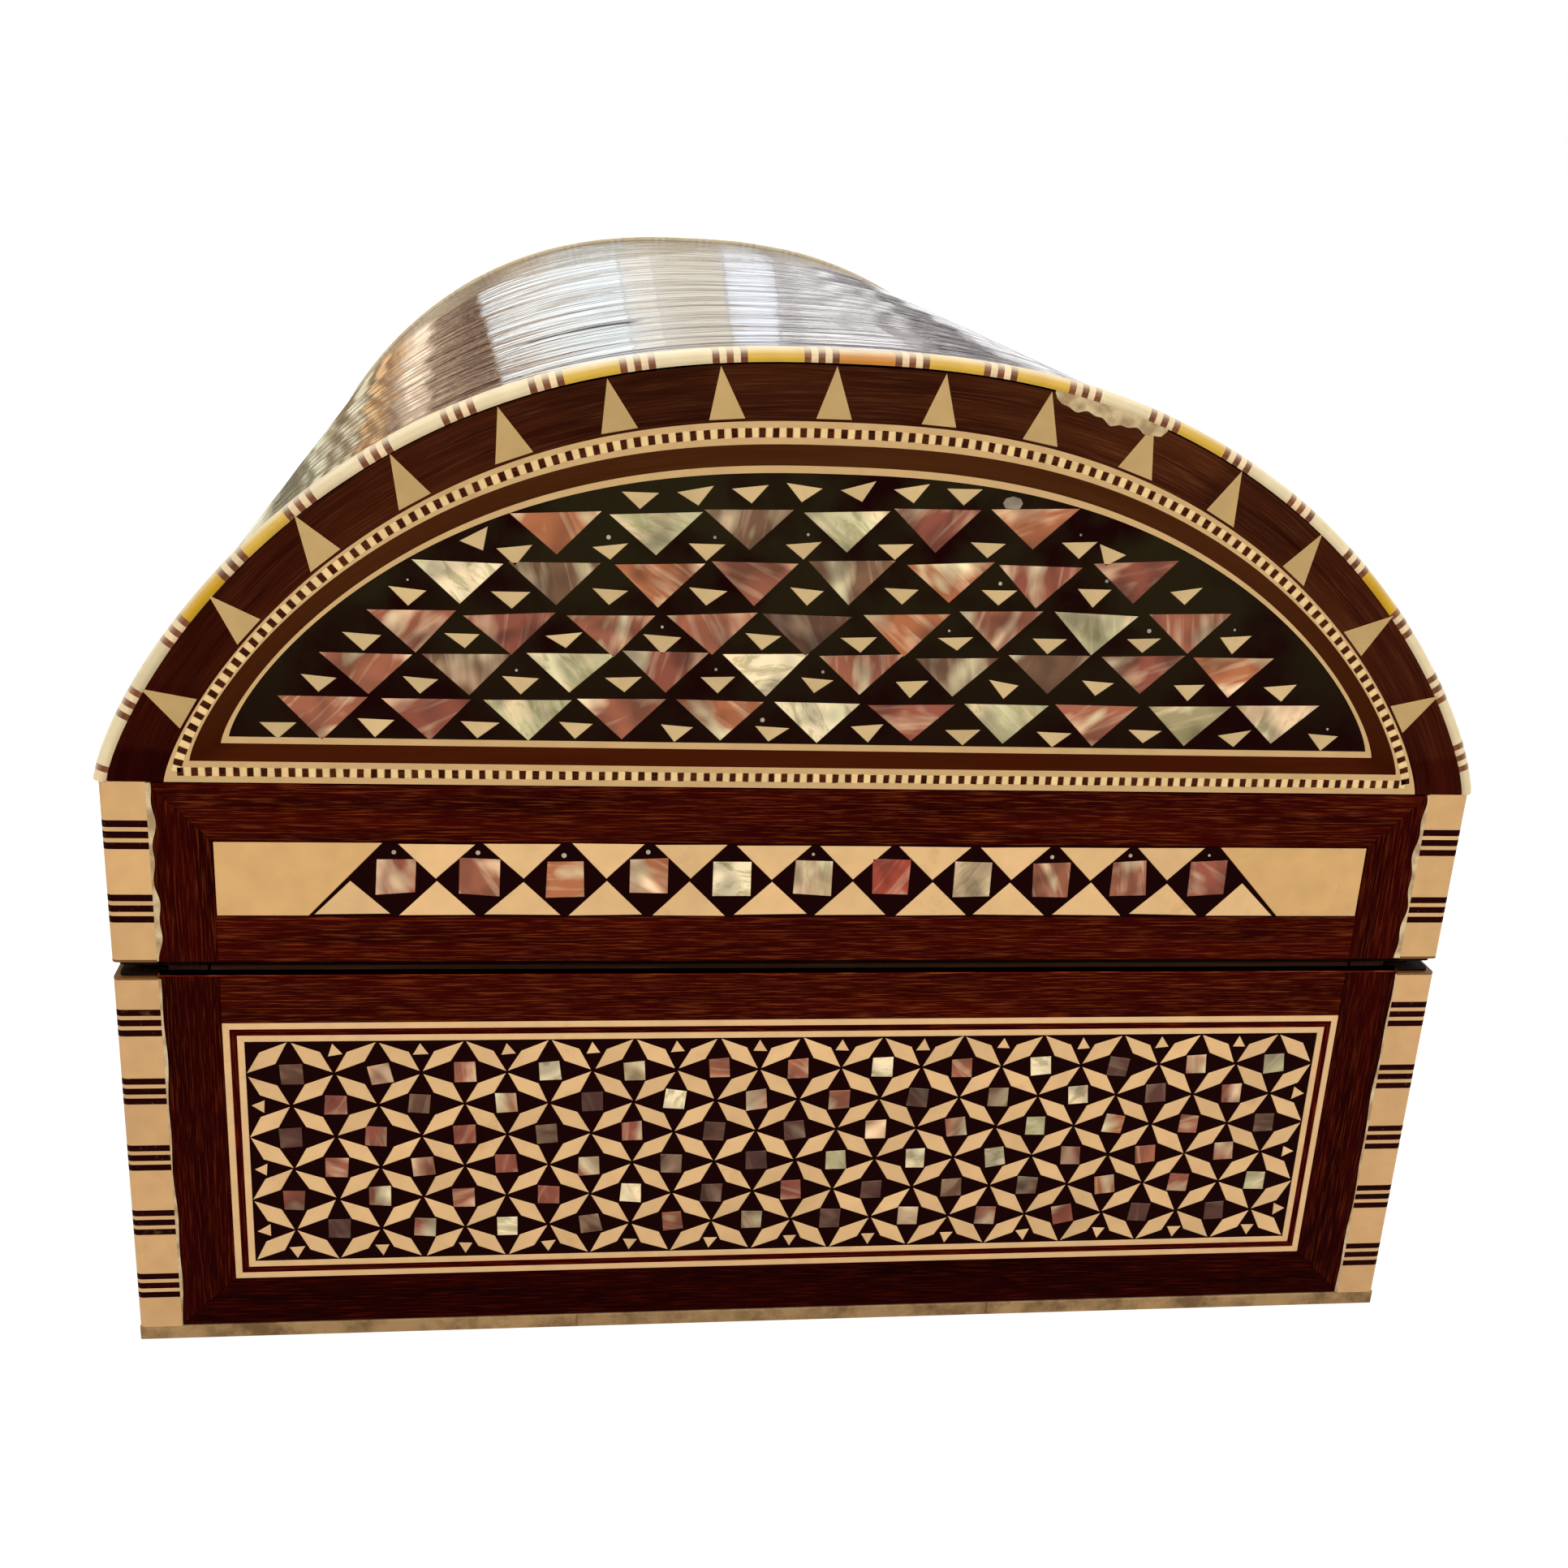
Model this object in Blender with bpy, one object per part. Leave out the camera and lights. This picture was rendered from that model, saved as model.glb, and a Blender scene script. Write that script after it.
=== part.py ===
"""Barrel-lidded jewellery box in dark wood, faced with bone and mother-of-pearl inlay.

The box stands on z = 0 with its length along Y. The right end faces -Y and the front faces -X.
The lid turns on two brass butt hinges let into the back edge, so it opens towards +X.
Boards make the carcass, a thin facing of veneer and inlay covers them, and velvet lines them.
Neighbouring pieces keep a seam the width of a glue line.
"""

from math import cos, hypot, pi, sin

import bmesh
import bpy
from mathutils import Vector

MM = 0.001

# Overall form
WIDTH = 129.0 * MM            # front to back across the corner strips
LENGTH = 183.0 * MM           # end face to end face
BASE_HEIGHT = 40.0 * MM
LID_GAP = 0.9 * MM            # open line between base and lid
LID_WALL = 18.1 * MM          # upright wall of the lid below the arch
ARCH_RISE = 39.9 * MM
ARCH_ACROSS = 2.44            # exponents of the arch, |x|^across + |z|^up = 1
ARCH_UP = 1.32
ARCH_STEPS = 44

# Boards and layers
BASE_BOARD = 6.0 * MM
LID_BOARD = 5.4 * MM
BOTTOM_BOARD = 4.0 * MM
DOME_BOARD = 3.0 * MM
FACING = 1.8 * MM
SEAM = 0.3 * MM

# Bone trim
CORNER_STRIP = 4.0 * MM       # width on each of the two faces it wraps
EDGE_STRIP = 1.5 * MM         # height along the foot of the base
RIM_WIDTH = 1.6 * MM          # rim banding seen on the end
RIM_DEPTH = 2.2 * MM          # rim banding seen on the dome
RIM_PROUD = 0.5 * MM

# Veneer frames round the inlay
STILE = 5.5 * MM
BASE_TOP_RAIL = 5.0 * MM
BASE_BOTTOM_RAIL = 5.4 * MM
LID_TOP_RAIL = 5.6 * MM
LID_BOTTOM_RAIL = 5.0 * MM

# Star lattice of the base ends
STRING = 2.0 * MM             # stringing round the lattice field
LATTICE_DEPTH = 0.8 * MM
LATTICE_COLUMNS = 13          # squares in a full row
LATTICE_ROWS = 6
LOZENGE_WIDTH = 1.9 * MM
LOZENGE_TIP = 0.3 * MM        # half the width where four tips meet

# Arched end of the lid
ARCH_BAND = 4.6 * MM
CHECKER = 2.0 * MM            # chequered stringing round the tympanum
CHECKER_FOOT = 2.4 * MM       # the same stringing where it meets its base line
SPIKES = 15
SPIKE_BASE = 3.7 * MM
SPIKE_BRIDGE = 0.5 * MM       # wood left between a spike's point and the rim

# Lining
LINING = 1.2 * MM
LINING_ROUND = 0.4 * MM
LIP = 3.0 * MM                # base lining stands above the base's edge
LIP_ROOM = 1.0 * MM           # between that lip and the lid's lining
FLOOR_PAD = 2.6 * MM
FLOOR_ROUND = 1.1 * MM

# Butt hinges
HINGE_SPACING = 100.0 * MM
HINGE_LENGTH = 20.0 * MM
HINGE_INSET = 0.35 * MM       # pin axis inside the back face, which stops the open lid
LEAF = 0.9 * MM
LEAF_SPACE = 0.3 * MM         # between the two closed leaves
LEAF_MARGIN = 1.0 * MM        # wood left behind a leaf
PIN_RADIUS = 0.6 * MM
PIN_ROOM = 0.25 * MM
KNUCKLE_ROOM = 0.3 * MM
ROUND_STEPS = 20

# Levels and planes that follow from the sizes above
HALF_WIDTH = WIDTH / 2
HALF_LENGTH = LENGTH / 2
LID_BOTTOM = BASE_HEIGHT + LID_GAP
SPRING = LID_BOTTOM + LID_WALL
CROWN = SPRING + ARCH_RISE
SKIN = FACING + SEAM
BASE_INNER_X = HALF_WIDTH - SKIN - BASE_BOARD
BASE_INNER_Y = HALF_LENGTH - SKIN - BASE_BOARD
LID_INNER_X = HALF_WIDTH - SKIN - LID_BOARD
LID_INNER_Y = HALF_LENGTH - SKIN - LID_BOARD
FRAME_HALF = HALF_WIDTH - CORNER_STRIP - SEAM
WINDOW_HALF = HALF_WIDTH - CORNER_STRIP - STILE
RIM_HALF = HALF_WIDTH + RIM_PROUD
HINGE_X = HALF_WIDTH - HINGE_INSET
HINGE_Z = BASE_HEIGHT + LID_GAP / 2
KNUCKLE_RADIUS = PIN_RADIUS + PIN_ROOM + LEAF
LEAF_REACH = SKIN + min(BASE_BOARD, LID_BOARD) - LEAF_MARGIN - HINGE_INSET

ENDS = (("right", -1), ("left", 1))
SIDES = (("front", -1), ("back", 1))

# Drawing planes: where a point (u, v) lies at a distance w along the plane's normal
PLANES = {
    "end": lambda u, v, w: Vector((u, w, v)),
    "side": lambda u, v, w: Vector((w, u, v)),
    "plan": lambda u, v, w: Vector((u, v, w)),
}


def new_material(name, colour, roughness, metallic=0.0):
    """Principled material of one plain colour, given as linear red, green and blue."""
    material = bpy.data.materials.new(name)
    material.use_nodes = True
    shader = material.node_tree.nodes["Principled BSDF"]
    shader.inputs["Base Color"].default_value = (*colour, 1.0)
    shader.inputs["Roughness"].default_value = roughness
    shader.inputs["Metallic"].default_value = metallic
    return material


def add_object(name, bm, material):
    """Turns a finished mesh into a named object, faces outward."""
    bmesh.ops.recalc_face_normals(bm, faces=bm.faces)
    mesh = bpy.data.meshes.new(name)
    bm.to_mesh(mesh)
    bm.free()
    mesh.materials.append(material)
    obj = bpy.data.objects.new(name, mesh)
    bpy.context.scene.collection.objects.link(obj)
    return obj


def thicken(bm, shift):
    """Closes a flat sheet into a solid by carrying its faces along a vector."""
    top = bmesh.ops.extrude_face_region(bm, geom=bm.faces[:])["geom"]
    verts = [item for item in top if isinstance(item, bmesh.types.BMVert)]
    bmesh.ops.translate(bm, vec=shift, verts=verts)


def prism(name, loops, plane, low, high, material):
    """Solid between two parallel planes: the first loop is its outline, any others are holes."""
    place = PLANES[plane]
    bm = bmesh.new()
    edges = []
    for loop in loops:
        verts = [bm.verts.new(place(u, v, low)) for u, v in loop]
        edges += [bm.edges.new(pair) for pair in zip(verts, verts[1:] + verts[:1])]
    bmesh.ops.triangle_fill(bm, use_beauty=True, edges=edges)
    thicken(bm, place(0, 0, high) - place(0, 0, low))
    return add_object(name, bm, material)


def rectangle(low_u, high_u, low_v, high_v):
    return [(low_u, low_v), (high_u, low_v), (high_u, high_v), (low_u, high_v)]


def circle(centre_u, centre_v, radius):
    turns = [2 * pi * step / ROUND_STEPS for step in range(ROUND_STEPS)]
    return [(centre_u + radius * cos(turn), centre_v + radius * sin(turn)) for turn in turns]


def arch(half, foot, crown, steps=ARCH_STEPS):
    """Points over the arch from its foot at +half to its foot at -half."""
    points = []
    for step in range(steps + 1):
        turn = pi * step / steps
        along = cos(turn)
        across = abs(along) ** (2 / ARCH_ACROSS)
        up = max(sin(turn), 0.0) ** (2 / ARCH_UP)
        points.append((half * across * (1 if along > 0 else -1), foot + (crown - foot) * up))
    return points


def walk(points, share):
    """Point at a share of the length along a row of points."""
    lengths = [hypot(b[0] - a[0], b[1] - a[1]) for a, b in zip(points, points[1:])]
    left = share * sum(lengths)
    for start, end, length in zip(points, points[1:], lengths):
        if left <= length:
            part = left / length
            return (start[0] + (end[0] - start[0]) * part, start[1] + (end[1] - start[1]) * part)
        left -= length
    return points[-1]


def run_length(points):
    return sum(hypot(b[0] - a[0], b[1] - a[1]) for a, b in zip(points, points[1:]))


def end_slab(name, loops, side, depth, material, back=0.0):
    """Solid in an end's plane: from a depth behind the end face out to a step back from it."""
    return prism(name, loops, "end", side * (HALF_LENGTH - depth), side * (HALF_LENGTH - back), material)


def combine(target, tool, operation):
    """Boolean of two solids. The tool is used up."""
    modifier = target.modifiers.new(operation.lower(), "BOOLEAN")
    modifier.operation = operation
    modifier.solver = "EXACT"
    modifier.object = tool
    depsgraph = bpy.context.evaluated_depsgraph_get()
    result = bpy.data.meshes.new_from_object(target.evaluated_get(depsgraph))
    target.modifiers.clear()
    target.data = result
    bpy.data.objects.remove(tool)


def round_edges(obj, width, segments):
    modifier = obj.modifiers.new("rounding", "BEVEL")
    modifier.width = width
    modifier.segments = segments
    modifier.limit_method = "ANGLE"


def shade_round(obj):
    obj.data.shade_smooth()
    obj.data.set_sharp_from_angle(angle=pi / 5)


def hang_on(pivot, obj):
    """Gives a lid piece the hinge axis as its origin."""
    obj.data.transform(pivot.matrix_world.inverted())
    obj.parent = pivot


def corner_strip(name, side_x, side_y, low, high, material):
    """Bone angle that wraps one upright corner."""
    outer_x, outer_y = side_x * HALF_WIDTH, side_y * HALF_LENGTH
    wide_x, wide_y = outer_x - side_x * CORNER_STRIP, outer_y - side_y * CORNER_STRIP
    thin_x, thin_y = outer_x - side_x * FACING, outer_y - side_y * FACING
    outline = [(outer_x, outer_y), (wide_x, outer_y), (wide_x, thin_y),
               (thin_x, thin_y), (thin_x, wide_y), (outer_x, wide_y)]
    return prism(name, [outline], "plan", low, high, material)


def base_carcass(wood):
    """Four walls butted at the corners, with the bottom board between them."""
    outer_x = HALF_WIDTH - SKIN
    outer_y = HALF_LENGTH - SKIN
    for word, side in SIDES:
        span = sorted((side * BASE_INNER_X, side * outer_x))
        outline = rectangle(*span, -outer_y, outer_y)
        prism(f"base_wall_{word}", [outline], "plan", 0.0, BASE_HEIGHT, wood)
    for word, side in ENDS:
        span = sorted((side * BASE_INNER_Y, side * outer_y))
        outline = rectangle(SEAM - BASE_INNER_X, BASE_INNER_X - SEAM, *span)
        prism(f"base_wall_{word}", [outline], "plan", 0.0, BASE_HEIGHT, wood)
    half_x, half_y = BASE_INNER_X - SEAM, BASE_INNER_Y - SEAM
    prism("bottom_board", [rectangle(-half_x, half_x, -half_y, half_y)], "plan", 0.0, BOTTOM_BOARD, wood)


def base_trim(bone):
    """Mitred strips along the foot and an angle strip up each corner."""
    inner_x, inner_y = HALF_WIDTH - FACING, HALF_LENGTH - FACING
    mitre = SEAM / 2
    for word, side in SIDES:
        outline = [(side * HALF_WIDTH, mitre - HALF_LENGTH), (side * HALF_WIDTH, HALF_LENGTH - mitre),
                   (side * inner_x, inner_y - mitre), (side * inner_x, mitre - inner_y)]
        prism(f"edge_strip_{word}", [outline], "plan", 0.0, EDGE_STRIP, bone)
    for word, side in ENDS:
        outline = [(mitre - HALF_WIDTH, side * HALF_LENGTH), (HALF_WIDTH - mitre, side * HALF_LENGTH),
                   (inner_x - mitre, side * inner_y), (mitre - inner_x, side * inner_y)]
        prism(f"edge_strip_{word}", [outline], "plan", 0.0, EDGE_STRIP, bone)
    for word_x, side_x in SIDES:
        for word_y, side_y in ENDS:
            name = f"base_corner_{word_x}_{word_y}"
            corner_strip(name, side_x, side_y, EDGE_STRIP + SEAM, BASE_HEIGHT, bone)


def inlay_tray(name, half, low, high, side, material):
    """Inlay slab of a base end: a raised border of stringing round a sunk field."""
    inner = HALF_LENGTH - FACING
    sunk = HALF_LENGTH - LATTICE_DEPTH - SEAM
    bm = bmesh.new()
    corners = rectangle(-half, half, low, high)
    field = rectangle(STRING - half, half - STRING, low + STRING, high - STRING)
    rings = []
    for loop, depth in ((corners, inner), (corners, HALF_LENGTH), (field, HALF_LENGTH), (field, sunk)):
        rings.append([bm.verts.new((u, side * depth, v)) for u, v in loop])
    for ring, following in zip(rings, rings[1:]):
        for step in range(len(corners)):
            after = (step + 1) % len(corners)
            bm.faces.new((ring[step], ring[after], following[after], following[step]))
    bm.faces.new(rings[0])
    bm.faces.new(rings[-1])
    return add_object(name, bm, material)


def star_lattice(name, half, low, high, side, material):
    """Bone lozenges joined tip to tip, ringing a chequer of squares with four-pointed stars.

    Knots lie on every second crossing of a grid of half columns and rows.
    Each lozenge joins two knots across a grid cell, and four lozenges meet at a knot.
    """
    across = 2 * LATTICE_COLUMNS
    upward = LATTICE_ROWS + 1
    field = half - STRING - SEAM - LOZENGE_TIP
    floor, roof = low + STRING + SEAM + LOZENGE_TIP, high - STRING - SEAM - LOZENGE_TIP
    step_u, step_v = 2 * field / across, (roof - floor) / upward
    depth = HALF_LENGTH - LATTICE_DEPTH
    bm = bmesh.new()

    def vertex(u, v):
        return bm.verts.new((u, side * depth, v))

    knots = {}
    for row in range(upward + 1):
        for column in range(across + 1):
            if (row + column) % 2:
                continue
            u, v = column * step_u - field, floor + row * step_v
            east, north = vertex(u + LOZENGE_TIP, v), vertex(u, v + LOZENGE_TIP)
            west, south = vertex(u - LOZENGE_TIP, v), vertex(u, v - LOZENGE_TIP)
            bm.faces.new((east, north, west, south))
            knots[column, row] = (u, v, east, north, west, south)
    slant = hypot(step_u, step_v)
    for (column, row), (u, v, east, north, west, _) in knots.items():
        for lean in (1, -1):
            other = knots.get((column + lean, row + 1))
            if other is None:
                continue
            middle_u, middle_v = u + lean * step_u / 2, v + step_v / 2
            off_u = LOZENGE_WIDTH / 2 * step_v / slant
            off_v = LOZENGE_WIDTH / 2 * step_u / slant
            lower = vertex(middle_u + lean * off_u, middle_v - off_v)
            upper = vertex(middle_u - lean * off_u, middle_v + off_v)
            start = east if lean > 0 else west
            arrive = other[4] if lean > 0 else other[2]
            bm.faces.new((start, lower, other[5], arrive, upper, north))
    thicken(bm, Vector((0, side * LATTICE_DEPTH, 0)))
    return add_object(name, bm, material)


def base_facing(veneer, mastic, bone):
    """Veneer and inlay on the outside of the base: framed on the ends, one slab on each long side."""
    foot = EDGE_STRIP + SEAM
    low, high = EDGE_STRIP + BASE_BOTTOM_RAIL, BASE_HEIGHT - BASE_TOP_RAIL
    for word, side in ENDS:
        frame = rectangle(-FRAME_HALF, FRAME_HALF, foot, BASE_HEIGHT)
        window = rectangle(-WINDOW_HALF, WINDOW_HALF, low, high)
        end_slab(f"base_frame_{word}", [frame, window], side, FACING, veneer)
        half = WINDOW_HALF - SEAM
        inlay_tray(f"base_inlay_{word}", half, low + SEAM, high - SEAM, side, mastic)
        star_lattice(f"base_lattice_{word}", half, low + SEAM, high - SEAM, side, bone)
    half_y = HALF_LENGTH - CORNER_STRIP - SEAM
    panels = {}
    for word, side in SIDES:
        outline = rectangle(-half_y, half_y, foot, BASE_HEIGHT)
        inner, outer = side * (HALF_WIDTH - FACING), side * HALF_WIDTH
        panels[word] = prism(f"base_panel_{word}", [outline], "side", inner, outer, veneer)
    return panels


def base_lining(velvet):
    """Velvet on the four walls, standing up as a lip inside the lid, and a pad on the floor."""
    low, high = BOTTOM_BOARD + SEAM, BASE_HEIGHT + LIP
    outer_x, outer_y = BASE_INNER_X - SEAM, BASE_INNER_Y - SEAM
    inner_x, inner_y = outer_x - LINING, outer_y - LINING
    for word, side in SIDES:
        span = sorted((side * inner_x, side * outer_x))
        outline = rectangle(*span, -outer_y, outer_y)
        round_edges(prism(f"base_lining_{word}", [outline], "plan", low, high, velvet), LINING_ROUND, 2)
    for word, side in ENDS:
        span = sorted((side * inner_y, side * outer_y))
        outline = rectangle(SEAM - inner_x, inner_x - SEAM, *span)
        round_edges(prism(f"base_lining_{word}", [outline], "plan", low, high, velvet), LINING_ROUND, 2)
    outline = rectangle(SEAM - inner_x, inner_x - SEAM, SEAM - inner_y, inner_y - SEAM)
    pad = prism("floor_pad", [outline], "plan", low, low + FLOOR_PAD, velvet)
    round_edges(pad, FLOOR_ROUND, 3)
    shade_round(pad)


def lid_carcass(wood, veneer):
    """Two rails, two arched end boards that rest on them, and the bent dome board over all."""
    outer_x = HALF_WIDTH - SKIN
    outer_y = HALF_LENGTH - SKIN
    pieces = {}
    for word, side in SIDES:
        span = sorted((side * LID_INNER_X, side * outer_x))
        outline = rectangle(*span, -outer_y, outer_y)
        pieces[word] = prism(f"lid_rail_{word}", [outline], "plan", LID_BOTTOM, SPRING - SEAM, wood)
    under = DOME_BOARD + SEAM
    top = arch(HALF_WIDTH - under, SPRING, CROWN - RIM_PROUD - under)
    neck = LID_INNER_X - SEAM
    board = [(-neck, SPRING), (-neck, LID_BOTTOM), (neck, LID_BOTTOM), (neck, SPRING)] + top
    for word, side in ENDS:
        pieces[word] = end_slab(f"lid_board_{word}", [board], side, SKIN + LID_BOARD, wood, SKIN)
    outside = arch(HALF_WIDTH, SPRING, CROWN - RIM_PROUD)
    inside = arch(HALF_WIDTH - DOME_BOARD, SPRING, CROWN - RIM_PROUD - DOME_BOARD)
    reach = HALF_LENGTH - RIM_DEPTH - SEAM
    dome = prism("dome_board", [outside + inside[::-1]], "end", -reach, reach, veneer)
    shade_round(dome)
    pieces["dome"] = dome
    return pieces


def spiked_outline(outline, tips, growth):
    """An arch with a spike raised at even steps along it, pointing at the row of tips.

    Growth widens a spike's foot on both sides, for the notch that takes it.
    """
    reach = (SPIKE_BASE / 2 + growth) / run_length(outline)
    points = []
    for index in range(SPIKES):
        middle = (index + 0.5) / SPIKES
        points.append(walk(outline, index / SPIKES))
        points += [walk(outline, middle - reach), walk(tips, middle), walk(outline, middle + reach)]
    points.append(outline[-1])
    return points


def lid_arches(bone, veneer, mastic):
    """Arched end of the lid: rim, wood band notched for the spikes, spiked stringing, tympanum."""
    pieces = []
    rim_inner_half, rim_inner_crown = RIM_HALF - RIM_WIDTH, CROWN - RIM_WIDTH
    rim = arch(RIM_HALF, SPRING, CROWN) + arch(rim_inner_half, SPRING, rim_inner_crown)[::-1]
    band_outer = arch(rim_inner_half - SEAM, SPRING, rim_inner_crown - SEAM)
    ring_half, ring_crown = rim_inner_half - ARCH_BAND, rim_inner_crown - ARCH_BAND
    ring_outer = arch(ring_half, SPRING, ring_crown)
    bed = arch(ring_half + SEAM, SPRING, ring_crown + SEAM)
    notch_inset = SEAM + SPIKE_BRIDGE
    notch_tips = arch(rim_inner_half - notch_inset, SPRING, rim_inner_crown - notch_inset)
    tip_inset = notch_inset + 2 * SEAM
    spike_tips = arch(rim_inner_half - tip_inset, SPRING, rim_inner_crown - tip_inset)
    band = band_outer + spiked_outline(bed, notch_tips, SEAM)[::-1]
    ring = spiked_outline(ring_outer, spike_tips, 0.0)
    hole = arch(ring_half - CHECKER_FOOT, SPRING + CHECKER, ring_crown - CHECKER)
    inset = CHECKER + SEAM
    panel = arch(ring_half - CHECKER_FOOT - SEAM, SPRING + inset, ring_crown - inset)
    for word, side in ENDS:
        pieces.append(end_slab(f"rim_banding_{word}", [rim], side, RIM_DEPTH, bone))
        shade_round(pieces[-1])
        pieces.append(end_slab(f"arch_band_{word}", [band], side, FACING, veneer))
        pieces.append(end_slab(f"spiked_stringing_{word}", [ring, hole], side, FACING, bone))
        pieces.append(end_slab(f"tympanum_{word}", [panel], side, FACING, mastic))
    return pieces


def lid_facing(bone, veneer, mastic):
    """Framed inlay strip on each lid end, one slab on each long side, and the corner strips."""
    pieces = {}
    low, high = LID_BOTTOM + LID_BOTTOM_RAIL, SPRING - LID_TOP_RAIL
    top = SPRING - SEAM
    for word, side in ENDS:
        frame = rectangle(-FRAME_HALF, FRAME_HALF, LID_BOTTOM, top)
        window = rectangle(-WINDOW_HALF, WINDOW_HALF, low, high)
        pieces["frame", word] = end_slab(f"lid_frame_{word}", [frame, window], side, FACING, veneer)
        half = WINDOW_HALF - SEAM
        strip = rectangle(-half, half, low + SEAM, high - SEAM)
        pieces["strip", word] = end_slab(f"lid_inlay_{word}", [strip], side, FACING, mastic)
    half_y = HALF_LENGTH - CORNER_STRIP - SEAM
    for word, side in SIDES:
        outline = rectangle(-half_y, half_y, LID_BOTTOM, top)
        inner, outer = side * (HALF_WIDTH - FACING), side * HALF_WIDTH
        pieces["panel", word] = prism(f"lid_panel_{word}", [outline], "side", inner, outer, veneer)
    for word_x, side_x in SIDES:
        for word_y, side_y in ENDS:
            name = f"lid_corner_{word_x}_{word_y}"
            pieces["corner", word_x, word_y] = corner_strip(name, side_x, side_y, LID_BOTTOM, top, bone)
    return pieces


def lid_lining(velvet):
    """Velvet bent under the dome, with a velvet panel on each end board."""
    foot = BASE_HEIGHT + LIP + LIP_ROOM
    half = LID_INNER_X - SEAM
    crown = CROWN - RIM_PROUD - DOME_BOARD - SEAM
    outside = [(half, foot)] + arch(half, SPRING, crown) + [(-half, foot)]
    inside = [(half - LINING, foot)] + arch(half - LINING, SPRING, crown - LINING) + [(LINING - half, foot)]
    reach = LID_INNER_Y - SEAM
    dome = prism("dome_lining", [outside + inside[::-1]], "end", -reach, reach, velvet)
    shade_round(dome)
    room = LINING + SEAM
    edge = [(half - room, foot)] + arch(half - room, SPRING, crown - room) + [(room - half, foot)]
    pieces = [dome]
    for word, side in ENDS:
        depth = HALF_LENGTH - reach
        pieces.append(end_slab(f"lid_lining_{word}", [edge], side, depth + LINING, velvet, depth))
    return pieces


def leaf_outline(middle, own_knuckles):
    """Hinge leaf from above: a plate with a tab at each of its own knuckles."""
    third = HINGE_LENGTH / 3
    root = HINGE_X - KNUCKLE_RADIUS - KNUCKLE_ROOM
    tab = HINGE_X - PIN_RADIUS - PIN_ROOM - LEAF / 2
    start = middle - HINGE_LENGTH / 2
    outline = [(HINGE_X - LEAF_REACH, start)]
    for index in range(3):
        edge = tab if index in own_knuckles else root
        trim = KNUCKLE_ROOM / 2 if index in own_knuckles else -KNUCKLE_ROOM / 2
        first = start + index * third + (trim if index else 0.0)
        last = start + (index + 1) * third - (trim if index < 2 else 0.0)
        outline += [(edge, first), (edge, last)]
    outline.append((HINGE_X - LEAF_REACH, start + HINGE_LENGTH))
    return outline


def hinge_leaf(name, middle, own_knuckles, side, brass):
    """Plate with rolled knuckles. Side is -1 for the base's leaf, below the axis, and 1 for the lid's."""
    near, far = HINGE_Z + side * LEAF_SPACE / 2, HINGE_Z + side * (LEAF_SPACE / 2 + LEAF)
    leaf = prism(name, [leaf_outline(middle, own_knuckles)], "plan", near, far, brass)
    third = HINGE_LENGTH / 3
    start = middle - HINGE_LENGTH / 2
    ring = [circle(HINGE_X, HINGE_Z, KNUCKLE_RADIUS), circle(HINGE_X, HINGE_Z, PIN_RADIUS + PIN_ROOM)]
    for index in own_knuckles:
        first = start + index * third + (KNUCKLE_ROOM / 2 if index else 0.0)
        last = start + (index + 1) * third - (KNUCKLE_ROOM / 2 if index < 2 else 0.0)
        combine(leaf, prism("knuckle", ring, "end", first, last, brass), "UNION")
    shade_round(leaf)
    return leaf


def cut_hinge_pockets(target, side):
    """Lets the leaf and the knuckles of both hinges into the edge of a back board or panel."""
    outside = HALF_WIDTH + KNUCKLE_RADIUS
    leaf_floor = HINGE_Z + side * (LEAF_SPACE / 2 + LEAF + SEAM)
    knuckle_floor = HINGE_Z + side * (KNUCKLE_RADIUS + KNUCKLE_ROOM)
    pockets = ((HINGE_X - LEAF_REACH - SEAM, leaf_floor),
               (HINGE_X - KNUCKLE_RADIUS - KNUCKLE_ROOM, knuckle_floor))
    for middle in (-HINGE_SPACING / 2, HINGE_SPACING / 2):
        half = HINGE_LENGTH / 2 + SEAM
        for inner, floor in pockets:
            outline = rectangle(inner, outside, middle - half, middle + half)
            tool = prism("pocket", [outline], "plan", *sorted((HINGE_Z, floor)), target.data.materials[0])
            combine(target, tool, "DIFFERENCE")


def hinges(brass):
    """Two butt hinges: the base's leaf has the outer knuckles, the lid's leaf the middle one."""
    lid_leaves = []
    for word, side in ENDS:
        middle = side * HINGE_SPACING / 2
        hinge_leaf(f"hinge_base_leaf_{word}", middle, (0, 2), -1, brass)
        lid_leaves.append(hinge_leaf(f"hinge_lid_leaf_{word}", middle, (1,), 1, brass))
        half = HINGE_LENGTH / 2
        outline = circle(HINGE_X, HINGE_Z, PIN_RADIUS)
        shade_round(prism(f"hinge_pin_{word}", [outline], "end", middle - half, middle + half, brass))
    return lid_leaves


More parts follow.
